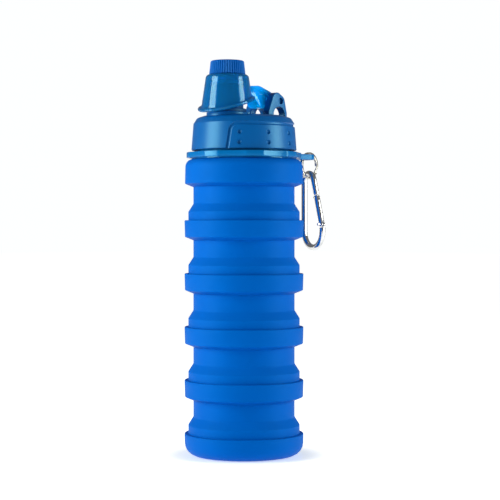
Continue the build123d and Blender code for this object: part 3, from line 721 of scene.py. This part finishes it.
def flange_outline():
    """The scalloped edge, turned so that the tab is at the first point, with the tab in it."""
    chord = FLANGE_RADIUS * sin(SCALLOP_HALF)
    sagitta = SCALLOP_DEPTH - FLANGE_RADIUS * (1 - cos(SCALLOP_HALF))
    dish = (chord**2 + sagitta**2) / (2 * sagitta)
    dish_reach = FLANGE_RADIUS - SCALLOP_DEPTH + dish
    tab = rounded(
        [
            (FLANGE_RADIUS, -TAB_ROOT),
            (TAB_REACH, -TAB_TIP, TAB_ROUND),
            (TAB_REACH, TAB_TIP, TAB_ROUND),
            (FLANGE_RADIUS, TAB_ROOT),
        ],
        steps=12,
    )
    tab[0].x = tab[-1].x = sqrt((FLANGE_RADIUS - TAB_SUNK) ** 2 - TAB_ROOT**2)
    points = list(tab)
    pitch_angle = 2 * pi / SCALLOPS
    for step in range(RIM_STEPS):
        around = 2 * pi * step / RIM_STEPS
        from_tab = abs(atan2(sin(around), cos(around))) * FLANGE_RADIUS
        if from_tab < TAB_ROOT + TAB_CLEAR:
            continue
        off = (around + pitch_angle / 2) % pitch_angle - pitch_angle / 2
        reach = FLANGE_RADIUS
        if abs(off) < SCALLOP_HALF:
            reach = dish_reach * cos(off) - sqrt(dish**2 - (dish_reach * sin(off)) ** 2)
        points.append(Vector((reach * cos(around), reach * sin(around))))
    return points


collar = plate("neck_collar_visible", flange_outline(), FLANGE_FOOT, FLANGE_TOP, edge=0.35)
tab_hole = bar(TAB_HOLE, (TAB_HOLE_REACH, 0, FLANGE_FOOT - 1), (TAB_HOLE_REACH, 0, FLANGE_TOP + 1))
combine(collar, tab_hole, "DIFFERENCE")
collar.rotation_euler = (0, 0, TAB_TURN)
settle(collar, collar.name)
core = turned(
    "core",
    [
        (NECK_BORE, collar_low[2]),
        (NECK_TUBE, collar_low[2]),
        (NECK_TUBE, shoulder_top),
        (FLANGE_RADIUS - 3.0, shoulder_top),
        (FLANGE_RADIUS - 3.0, FLANGE_FOOT + 0.5),
        (NECK_ROOT, FLANGE_TOP + 0.6, 0.5),
        (NECK_ROOT, collar_high[2], 0.5),
        (NECK_BORE, collar_high[2], 0.5),
    ],
)
combine(collar, bar(NECK_BORE, (0, 0, FLANGE_FOOT - 1), (0, 0, FLANGE_TOP + 1), SEGMENTS), "DIFFERENCE")
combine(collar, core, "UNION")
join(collar, thread(NECK_ROOT, THREAD_DEPTH, LID_PITCH, FLANGE_TOP + LID_PITCH, turns=2))
finished(collar, COLLAR_BLUE, "shoulder", "collar_plastic", "neck_collar")

# %% [markdown]
# ## The lid
# The lid is a low satin dome on a slightly conical skirt. A fine groove frames its grip panel,
# with two rows of small dimples. Its underside is hollow and takes the neck's thread. Two ears
# for the hinge stand on its edge, each with an arch through its foot.

# %% Places that the frame gives the lid
pin_low, pin_high = node_box("hinge_pin")
spout_low, spout_high = node_box("drinking_spout")
SEAL_FACE = node_box("lid_gasket")[1][2]
LID_FOOT = node_box("lid_shell")[0][2]
LID_FOOT_RADIUS = 31.2
KNEE_RADIUS = 30.0
KNEE = SEAL_FACE + 0.5      # height where the skirt turns into the dome
CROWN = SEAL_FACE + 6.7
LID_BORE = 28.9
PIN_X = (pin_low[0] + pin_high[0]) / 2
PIN_Z = (pin_low[2] + pin_high[2]) / 2
PIN_RADIUS = (pin_high[0] - pin_low[0]) / 2
SPOUT_X = (spout_low[0] + spout_high[0]) / 2
SPOUT_HOLE = 9.1
BOSS_RADIUS = 12.2
BOSS_FOOT = SEAL_FACE + 2.6
BOSS_TOP = CROWN + 0.1
print("lid from", round(LID_FOOT, 2), "to", round(CROWN, 2), "and its hinge at", round(PIN_Z, 2))

# %% Lid body
lid = turned(
    "lid_visible",
    [
        (0, CROWN - 2.6),
        (NECK_BORE, CROWN - 4.4, 1.5),
        (NECK_BORE, SEAL_FACE),
        (NECK_ROOT, SEAL_FACE),
        (LID_BORE, SEAL_FACE - 1.5),
        (LID_BORE, LID_FOOT, 0.4),
        (LID_FOOT_RADIUS, LID_FOOT, 0.5),
        (KNEE_RADIUS, KNEE, 1.2),
        (KNEE_RADIUS - 2.1, SEAL_FACE + 3.8, 2.0),
        (KNEE_RADIUS - 5.7, SEAL_FACE + 5.0, 4.0),
        (0, CROWN),
    ],
    solid=True,
)
boss = turned(
    "boss",
    [(0, BOSS_FOOT), (BOSS_RADIUS, BOSS_FOOT), (BOSS_RADIUS, BOSS_TOP, 0.6), (0, BOSS_TOP)],
    centre=(SPOUT_X, 0),
    solid=True,
    segments=SMALL_SEGMENTS,
)
combine(lid, boss, "UNION")

# %% Ears
EAR_OUT = 10.0              # the ears' outer and inner faces, from the middle of the lid
EAR_IN = 5.0
PAST_EARS = EAR_OUT + 1     # how far a bar that cuts both ears reaches
PIN_PLAY = 0.05
ARCH_RADIUS = 4.9
ARCH_X = PIN_X - 1.4
ARCH_FOOT = SEAL_FACE + 5.0
ear_outline = [
    (PIN_X - 10.7, SEAL_FACE + 1),
    (PIN_X - 10.7, PIN_Z - 6.6, 2),
    (PIN_X - 8.6, PIN_Z - 1.8, 8),
    (PIN_X - 6.4, PIN_Z + 3.6, 4),
    (PIN_X - 2.5, PIN_Z + 5.4, 3.5),
    (PIN_X + 3.2, PIN_Z + 2.0, 3.5),
    (PIN_X + 5.5, PIN_Z - 7.0),
    (PIN_X + 5.5, SEAL_FACE + 1),
]
for side in (-1, 1):
    low_y, high_y = sorted((side * EAR_IN, side * EAR_OUT))
    ear = plate("ear", rounded(ear_outline, steps=8), low_y, high_y, flat="Y", edge=0.5)
    combine(lid, ear, "UNION")
pin_hole = bar(PIN_RADIUS + PIN_PLAY, (PIN_X, -PAST_EARS, PIN_Z), (PIN_X, PAST_EARS, PIN_Z))
combine(lid, pin_hole, "DIFFERENCE")
arch = bar(ARCH_RADIUS, (ARCH_X, -PAST_EARS, CROWN), (ARCH_X, PAST_EARS, CROWN), SMALL_SEGMENTS)
edit(arch, "EDIT")
bpy.ops.mesh.select_all(action="SELECT")
bpy.ops.mesh.bisect(plane_co=(0, 0, ARCH_FOOT * MM), plane_no=(0, 0, 1), use_fill=True, clear_inner=True)
bpy.ops.object.mode_set(mode="OBJECT")
combine(lid, arch, "DIFFERENCE")
spout_hole = bar(SPOUT_HOLE, (SPOUT_X, 0, SEAL_FACE), (SPOUT_X, 0, CROWN + 3), SMALL_SEGMENTS)
combine(lid, spout_hole, "DIFFERENCE")

# %% Grip panel's groove
PANEL_START = radians(-154.0)
PANEL_END = radians(127.8)
LEG_LEAN = radians(2.6)     # how far a leg leans into the panel on its way up
GROOVE_HEIGHT = KNEE - 1.0
GROOVE_CORNER = 4.6
GROOVE_RADIUS = 1.25
GROOVE_OUT = 0.35           # from the wall out to the middle of the wire that cuts the groove
CORNER_STEPS = 8
RUN_STEPS = 160


def on_lid(around, height, outward=0.0):
    """A place on the lid's skirt, in metres."""
    share = (height - LID_FOOT) / (KNEE - LID_FOOT)
    reach = LID_FOOT_RADIUS + (KNEE_RADIUS - LID_FOOT_RADIUS) * share + outward
    return (reach * cos(around) * MM, reach * sin(around) * MM, height * MM)


def groove_route():
    """Up one leg, round a corner, along the top, round the other corner and down."""
    corner_turn = GROOVE_CORNER / KNEE_RADIUS
    rise = []
    for step in range(CORNER_STEPS + 1):
        part = pi / 2 * step / CORNER_STEPS
        around = PANEL_START + LEG_LEAN + corner_turn * (1 - cos(part))
        rise.append((around, GROOVE_HEIGHT - GROOVE_CORNER * (1 - sin(part))))
    rise.insert(0, (PANEL_START - LEG_LEAN / 6, LID_FOOT - 2))
    fall = [(PANEL_START + PANEL_END - around, height) for around, height in reversed(rise)]
    first = rise[-1][0]
    span = fall[0][0] - first
    run = [(first + span * step / RUN_STEPS, GROOVE_HEIGHT) for step in range(1, RUN_STEPS)]
    return rise + run + fall


def wire(name, places, radius, closed=False):
    """A round wire through these places, which are in metres."""
    line = bpy.data.curves.new(name, "CURVE")
    line.dimensions = "3D"
    line.bevel_depth = radius * MM
    line.bevel_resolution = 3
    line.use_fill_caps = not closed
    spline = line.splines.new("POLY")
    spline.points.add(len(places) - 1)
    for point, place in zip(spline.points, places):
        point.co = (*place, 1)
    spline.use_cyclic_u = closed
    bent = bpy.data.objects.new(name, line)
    bpy.context.collection.objects.link(bent)
    edit(bent, "OBJECT")
    bpy.ops.object.convert(target="MESH")
    return settle(bpy.context.object, name)


route = [on_lid(around, height, GROOVE_OUT) for around, height in groove_route()]
combine(lid, wire("groove", route, GROOVE_RADIUS), "DIFFERENCE")
print("groove of", len(route), "points")

# %% Dimples, and the lid's finish
DIMPLE_COLUMNS = 9
DIMPLE_ROWS = (3.6, 9.6)    # heights above the lid's foot
DIMPLE_MARGIN = radians(13.3)
DIMPLE_RADIUS = 1.5
DIMPLE_PROUD = 0.45         # from the wall out to the ball's middle
dimple_spacing = (PANEL_END - PANEL_START - 2 * DIMPLE_MARGIN) / (DIMPLE_COLUMNS - 1)
for column in range(DIMPLE_COLUMNS):
    around = PANEL_START + DIMPLE_MARGIN + column * dimple_spacing
    for rise in DIMPLE_ROWS:
        bpy.ops.object.select_all(action="DESELECT")
        bpy.ops.mesh.primitive_uv_sphere_add(
            segments=32, ring_count=16, radius=DIMPLE_RADIUS * MM,
            location=on_lid(around, LID_FOOT + rise, DIMPLE_PROUD),
        )
        combine(lid, bpy.context.object, "DIFFERENCE")
bevel(lid, 0.22, segments=2, sharper_than=38)
join(lid, thread(LID_BORE, -THREAD_DEPTH, LID_PITCH, FLANGE_TOP + LID_PITCH * 1.5, turns=1))
finished(lid, LID_BLUE, "lid", "lid_plastic", "lid_shell")

# %% [markdown]
# ## Spout, cover and cap
# The spout stands up through the lid's boss. The cover is a clear tinted cup over it, cut off
# at a slope and ended by a round bead that a thumb can lift. An arm with a sunk pocket joins it
# to the hinge. Its top carries a small threaded neck, and a ribbed cap screws onto that. The
# bead is a round wire that is bent to the line where the slope meets the cup, because a closed
# tube with even faces joins cleanly to the cup.

# %% Spout
SPOUT_BORE = 7.0
SPOUT_RADIUS = 9.0
SPOUT_COLLAR = 11.3
SPOUT_COLLAR_TOP = BOSS_TOP + 2.0
spout = turned(
    "drinking_spout_visible",
    [
        (SPOUT_BORE, spout_low[2], 0.3),
        (SPOUT_RADIUS, spout_low[2], 0.3),
        (SPOUT_RADIUS, BOSS_TOP),
        (SPOUT_COLLAR, BOSS_TOP, 0.3),
        (SPOUT_COLLAR, SPOUT_COLLAR_TOP, 0.7),
        (SPOUT_RADIUS + 0.5, SPOUT_COLLAR_TOP, 0.5),
        (SPOUT_RADIUS, spout_high[2], 0.8),
        (SPOUT_BORE, spout_high[2], 0.8),
    ],
    centre=(SPOUT_X, 0),
    segments=SMALL_SEGMENTS,
)
finished(spout, SPOUT_BLUE, "lid", "spout_plastic", "drinking_spout")

# %% Sizes of the cover
cap_low, cap_high = node_box("ribbed_cap")
liner_low, liner_high = node_box("cap_liner")
gasket_top = node_box("cover_gasket")[1][2]
COVER_TOP = cap_low[2] - 0.1
SHOULDER = COVER_TOP - 2.0
SHOULDER_RADIUS = 12.75
SLOPE = 2.95 / (SHOULDER - CROWN)       # how much wider the cup grows for each millimetre down
COVER_WALL = 1.8
COVER_NECK = 8.0
COVER_NECK_BORE = 5.5
GASKET_SEAT = 9.4
RIM_SLOPE = radians(17.0)
BEAD_RADIUS = 1.2
BEAD_RISE = 1.0             # from the cut up to the bead's middle
BEAD_OUT = 0.75             # from the cup's wall out to the bead's middle
BEAD_STEPS = 144
CUP_FOOT = CROWN - 4.0      # below the rim's slope, which cuts it off
rim_front = Vector((SPOUT_X - 15.7, 0, CROWN - 0.4)) * MM
rim_normal = Vector((-sin(RIM_SLOPE), 0, cos(RIM_SLOPE)))


def cup_radius(height, outset=0.0):
    return SHOULDER_RADIUS + SLOPE * (SHOULDER - height) + outset


def rim_place(around):
    """The bead's middle, at this angle round the cup, where the sloping cut meets the cone."""
    lean = sin(RIM_SLOPE)
    level = cos(RIM_SLOPE)
    front = rim_front / MM
    rise = BEAD_RISE + front.z * level + lean * (SPOUT_X - front.x + cup_radius(0, BEAD_OUT) * cos(around))
    height = rise / (level + lean * SLOPE * cos(around))
    reach = cup_radius(height, BEAD_OUT)
    return Vector((SPOUT_X + reach * cos(around), reach * sin(around), height)) * MM


print("cup's radius", SHOULDER_RADIUS, "at its shoulder and", round(cup_radius(CROWN), 2), "at the crown")

# %% Cup and bead
cover = turned(
    "flip_cover_visible",
    [
        (cup_radius(CUP_FOOT, -COVER_WALL), CUP_FOOT),
        (cup_radius(CUP_FOOT), CUP_FOOT),
        (cup_radius(COVER_TOP), COVER_TOP, 2.2),
        (COVER_NECK, COVER_TOP, 0.3),
        (COVER_NECK, liner_low[2], 0.4),
        (COVER_NECK_BORE, liner_low[2], 0.4),
        (COVER_NECK_BORE, gasket_top),
        (GASKET_SEAT, gasket_top),
        (GASKET_SEAT, COVER_TOP - COVER_WALL, 0.4),
        (cup_radius(COVER_TOP, -COVER_WALL), COVER_TOP - COVER_WALL, 0.9),
    ],
    centre=(SPOUT_X, 0),
)
edit(cover, "EDIT")
bpy.ops.mesh.select_all(action="SELECT")
bpy.ops.mesh.bisect(plane_co=rim_front, plane_no=rim_normal, use_fill=True, clear_inner=True)
bpy.ops.object.mode_set(mode="OBJECT")
rim = [rim_place(2 * pi * step / BEAD_STEPS) for step in range(BEAD_STEPS)]
combine(cover, wire("bead", rim, BEAD_RADIUS, closed=True), "UNION")
print("cup and bead", len(cover.data.vertices), "vertices")

# %% Cover arm
ARM_HALF = 4.75
PAST_ARM = 6.0              # how far the bar that cuts its hole reaches
KNUCKLE_RADIUS = 4.4
POCKET_DEPTH = 1.8
arm_outline = [
    (SPOUT_X, PIN_Z + 6.0),
    (PIN_X - 19.0, PIN_Z + 8.2, 4),
    (PIN_X - 13.0, PIN_Z + 8.7, 8),
    (PIN_X - 6.5, PIN_Z + 6.6, 8),
    (PIN_X, PIN_Z + 4.4, 1.0),
    (PIN_X, PIN_Z - 4.4, 1.0),
    (PIN_X - 12.5, PIN_Z - 4.4, 3),
    (PIN_X - 15.5, PIN_Z - 0.5, 4),
    (PIN_X - 19.5, PIN_Z + 2.6, 2),
    (SPOUT_X, PIN_Z + 2.6),
]
pocket_outline = [
    (PIN_X - 17.0, PIN_Z + 5.6, 1),
    (PIN_X - 12.5, PIN_Z + 6.6, 4),
    (PIN_X - 7.0, PIN_Z + 4.8, 3),
    (PIN_X - 5.8, PIN_Z + 3.0, 0.8),
    (PIN_X - 5.8, PIN_Z - 2.6, 1.5),
    (PIN_X - 11.8, PIN_Z - 2.6, 2),
    (PIN_X - 14.0, PIN_Z + 0.6, 2),
]
arm = plate("arm", rounded(arm_outline, steps=8), -ARM_HALF, ARM_HALF, flat="Y", edge=0.5)
knuckle = bar(KNUCKLE_RADIUS, (PIN_X, -ARM_HALF, PIN_Z), (PIN_X, ARM_HALF, PIN_Z), SMALL_SEGMENTS)
bevel(knuckle, 0.4)
combine(arm, knuckle, "UNION")
for side in (-1, 1):
    low_y, high_y = sorted((side * (ARM_HALF - POCKET_DEPTH), side * (ARM_HALF + 1)))
    pocket = plate("pocket", rounded(pocket_outline, steps=6), low_y, high_y, flat="Y")
    combine(arm, pocket, "DIFFERENCE")
inside = turned(
    "inside",
    [
        (0, CUP_FOOT),
        (cup_radius(CUP_FOOT, -COVER_WALL / 2), CUP_FOOT),
        (cup_radius(COVER_TOP, -COVER_WALL / 2), COVER_TOP),
        (0, COVER_TOP),
    ],
    centre=(SPOUT_X, 0),
    solid=True,
)
combine(arm, inside, "DIFFERENCE")
combine(cover, arm, "UNION")
pin_hole = bar(PIN_RADIUS + PIN_PLAY, (PIN_X, -PAST_ARM, PIN_Z), (PIN_X, PAST_ARM, PIN_Z))
combine(cover, pin_hole, "DIFFERENCE")
CAP_PITCH = 2.0
CAP_DEPTH = 0.5
join(cover, thread(COVER_NECK, CAP_DEPTH, CAP_PITCH, COVER_TOP + 1.2, turns=1.5, centre=(SPOUT_X, 0)))
finished(cover, TINTED, "cover", "cover_plastic", "flip_cover")

# %% Ribbed cap
RIBS = 48
STEPS_PER_RIB = 8
RIB_DEPTH = 0.38
RIB_ROUND = 0.6             # under 1, so that the ribs are narrower than the valleys
RIB_INSIDE = 9.6            # inside this radius the cap stays round
CAP_BORE = 8.8
cap_foot = cap_low[2]
cap_top = cap_high[2]
cap = turned(
    "ribbed_cap_visible",
    [
        (0, liner_high[2]),
        (CAP_BORE, liner_high[2]),
        (CAP_BORE, cap_foot, 0.3),
        (10.7, cap_foot, 0.4),
        (10.62, cap_foot + 0.7),
        (9.95, cap_top - 1.3),
        (9.8, cap_top, 1.0),
        (6.6, cap_top, 0.5),
        (6.2, cap_top - 0.35, 0.5),
        (0, cap_top - 0.35),
    ],
    centre=(SPOUT_X, 0),
    segments=RIBS * STEPS_PER_RIB,
    solid=True,
)
for vertex in cap.data.vertices:
    across = Vector((vertex.co.x / MM - SPOUT_X, vertex.co.y / MM))
    height = vertex.co.z / MM
    if across.length < RIB_INSIDE or height > cap_top - 0.5:
        continue
    around = atan2(across.y, across.x)
    valley = (0.5 + 0.5 * cos(around * RIBS)) ** RIB_ROUND
    pulled = across * (1 - RIB_DEPTH * valley / across.length)
    vertex.co.x = (pulled.x + SPOUT_X) * MM
    vertex.co.y = pulled.y * MM
join(cap, thread(CAP_BORE, -CAP_DEPTH, CAP_PITCH, COVER_TOP + 2.2, turns=1, centre=(SPOUT_X, 0)))
finished(cap, CAP_BLUE, "cap", "cap_plastic", "ribbed_cap")

# %% [markdown]
# ## Key ring and snap hook
# The key ring is two turns of flat spring wire. The wire steps from one turn to the other over
# a short stretch, and its ends stop beside that step. The snap hook is one rod, bent over the
# top, down its spine and round the wide bottom, with both ends flattened. Its gate is a
# shorter rod with a slot in each end: one turns on a rivet, and the other has a cross pin that
# closes on the hook's tip.

# %% Split ring
RING_INNER = 6.9
RING_OUTER = 8.2
RING_TURN = radians(5.0)
RING_STEPS = 220
COIL_HALF = 0.425           # half the wire's thickness
COIL_OFFSET = 0.475         # from the middle of the ring to the middle of each turn
STEP_ANGLE = radians(16)    # half of the stretch where the wire steps across
ring_low, ring_high = node_box("split_ring")
ring_centre = (Vector(ring_low) + Vector(ring_high)) / 2
SECTION = rounded(
    [
        (RING_INNER, -COIL_HALF, 0.2),
        (RING_OUTER, -COIL_HALF, 0.2),
        (RING_OUTER, COIL_HALF, 0.2),
        (RING_INNER, COIL_HALF, 0.2),
    ],
    steps=3,
)
bpy.ops.object.select_all(action="DESELECT")
bpy.ops.mesh.primitive_circle_add(vertices=len(SECTION), radius=MM)
ring = bpy.context.object
for vertex, (across, up) in zip(ring.data.vertices, SECTION):
    vertex.co = Vector((across, 0, up)) * MM
whole = 4 * pi - 2 * STEP_ANGLE
modify(
    ring, "SCREW", angle=whole, screw_offset=0, steps=RING_STEPS, render_steps=RING_STEPS,
    use_merge_vertices=False,
)
print("ring", len(ring.data.vertices), "vertices for", len(SECTION), "x", RING_STEPS + 1)
for index, vertex in enumerate(ring.data.vertices):
    wound = whole * (index // len(SECTION)) / RING_STEPS
    share = min(max((wound - 2 * pi + 2 * STEP_ANGLE) / (2 * STEP_ANGLE), 0), 1)
    vertex.co.z += COIL_OFFSET * (2 * share * share * (3 - 2 * share) - 1) * MM
edit(ring, "EDIT")
bpy.ops.mesh.select_all(action="SELECT")
bpy.ops.mesh.fill_holes(sides=0)
bpy.ops.mesh.normals_make_consistent(inside=False)
bpy.ops.object.mode_set(mode="OBJECT")
ring.rotation_euler = (pi / 2, 0, RING_TURN)
ring.location = ring_centre * MM
settle(ring, "split_ring_visible")
finished(ring, NICKEL, "key_ring", "ring_steel", "split_ring")

# %% Hook sizes
HOOK_TURN = radians(-106.0)
ROD = 1.75
UPPER_BEND = 5.4
LOWER_BEND = 10.2
BEND_SPACING = 29.5
PIVOT_SHARE = 0.02          # places of the rivet and the cross pin up the gate's side
LATCH_SHARE = 0.60
FOOT_GAP = 2.0              # from the bent rod's end to the rivet
TONGUE_HALF = 0.6
SLOT_HALF = 0.7
HOOK_TOP = node_box("carabiner_frame")[1][2] - ROD
upper = Vector((UPPER_BEND, 0, HOOK_TOP - UPPER_BEND))
lower = Vector((LOWER_BEND, 0, upper.z - BEND_SPACING))
lean = 2 * atan2(LOWER_BEND - UPPER_BEND, BEND_SPACING)
out_from_gate = Vector((cos(lean), 0, sin(lean)))
up_the_gate = Vector((-sin(lean), 0, cos(lean)))
lower_touch = lower + LOWER_BEND * out_from_gate
upper_touch = upper + UPPER_BEND * out_from_gate
gate_side = (upper_touch - lower_touch).length
pivot = lower_touch + up_the_gate * gate_side * PIVOT_SHARE
latch = lower_touch + up_the_gate * gate_side * LATCH_SHARE
spine_x = ring_centre.x - UPPER_BEND * cos(HOOK_TURN)
spine_y = ring_centre.y - UPPER_BEND * sin(HOOK_TURN)
print("gate's pins", round((latch - pivot).length, 2), "mm apart")


def to_hook(thing, name):
    """Turns a piece drawn in the XZ plane, with the spine on the Z axis, into the hook's plane."""
    thing.rotation_euler = (0, 0, HOOK_TURN)
    thing.location = (spine_x * MM, spine_y * MM, 0)
    return settle(thing, name)


def tongue(place, reach):
    """A flattened end of the rod, rounded about a pin."""
    half = ROD * 0.8
    tip = [(half * cos(radians(a)), half * sin(radians(a))) for a in range(180, 361, 15)]
    points = [Vector(point) for point in tip] + [Vector((half, reach)), Vector((-half, reach))]
    if reach < 0:
        points = [Vector((point.x, -point.y)) for point in points[:-2]] + points[-2:]
    thing = plate("tongue", points, -TONGUE_HALF, TONGUE_HALF, flat="Y", edge=0.15)
    thing.rotation_euler = (0, -lean, 0)
    thing.location = place * MM
    return settle(thing, "tongue")


# %% Hook frame
nose_end = latch + up_the_gate * 1.6
bpy.ops.object.select_all(action="DESELECT")
bpy.ops.mesh.primitive_circle_add(
    vertices=32, radius=ROD * MM, location=nose_end * MM, rotation=(0, -lean, 0), fill_type="NGON"
)
hook = bpy.context.object
edit(hook, "OBJECT")
bpy.ops.object.transform_apply(location=True, rotation=True, scale=True)
edit(hook, "EDIT")
bpy.ops.mesh.select_all(action="SELECT")
bpy.ops.mesh.extrude_region_move(TRANSFORM_OT_translate={"value": (upper_touch - nose_end) * MM})
bpy.ops.mesh.spin(steps=28, angle=pi - lean, center=upper * MM, axis=(0, 1, 0))
bpy.ops.mesh.extrude_region_move(TRANSFORM_OT_translate={"value": (0, 0, -BEND_SPACING * MM)})
foot_turn = (FOOT_GAP - gate_side * PIVOT_SHARE) / LOWER_BEND
bpy.ops.mesh.spin(steps=44, angle=pi + lean - foot_turn, center=lower * MM, axis=(0, 1, 0))
bpy.ops.mesh.select_all(action="SELECT")
bpy.ops.mesh.remove_doubles(threshold=TOUCHING)
bpy.ops.mesh.normals_make_consistent(inside=False)
bpy.ops.object.mode_set(mode="OBJECT")
bevel(hook, 0.35, sharper_than=50)
join(hook, tongue(pivot, -3.2), tongue(latch, 2.8))
across = Vector((0, 3, 0))
for place, radius in ((pivot, 0.75), (latch, 0.6)):
    combine(hook, bar(radius, place - across, place + across, segments=24), "DIFFERENCE")
to_hook(hook, "snap_hook_frame")
finished(hook, POLISHED, "snap_hook", "hook_aluminium", "carabiner_frame")

# %% Hook gate
gate = bar(ROD, pivot - up_the_gate * 1.3, latch + up_the_gate * 1.25, 40)
bevel(gate, 0.45, segments=4, sharper_than=50)
for place, start, end in ((pivot, -3.0, 2.2), (latch, -2.2, 3.0)):
    points = [Vector(corner) for corner in ((-3, start), (3, start), (3, end), (-3, end))]
    slot = plate("slot", points, -SLOT_HALF, SLOT_HALF, flat="Y")
    slot.rotation_euler = (0, -lean, 0)
    slot.location = place * MM
    settle(slot, "slot")
    combine(gate, slot, "DIFFERENCE")
to_hook(gate, "snap_hook_gate")
finished(gate, POLISHED, "gate", "hook_aluminium", "carabiner_gate")

# %% [markdown]
# ## Small pieces that stay as they are
# Pins, seals, the clamp ring and the gate's spring already have their true shape in the frame,
# so they only need their finish.

# %% Finishes on the frame's own pieces
kept = {
    "hinge_pin": LID_BLUE,
    "neck_clamp_ring": COLLAR_BLUE,
    "lid_gasket": SEAL,
    "cover_gasket": SEAL,
    "cap_liner": SEAL,
    "gate_rivet": STEEL,
    "latch_pin": STEEL,
    "gate_spring": STEEL,
}
for node, material in kept.items():
    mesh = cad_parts[node].data
    mesh.materials.clear()
    mesh.materials.append(material)
print("kept", list(kept))
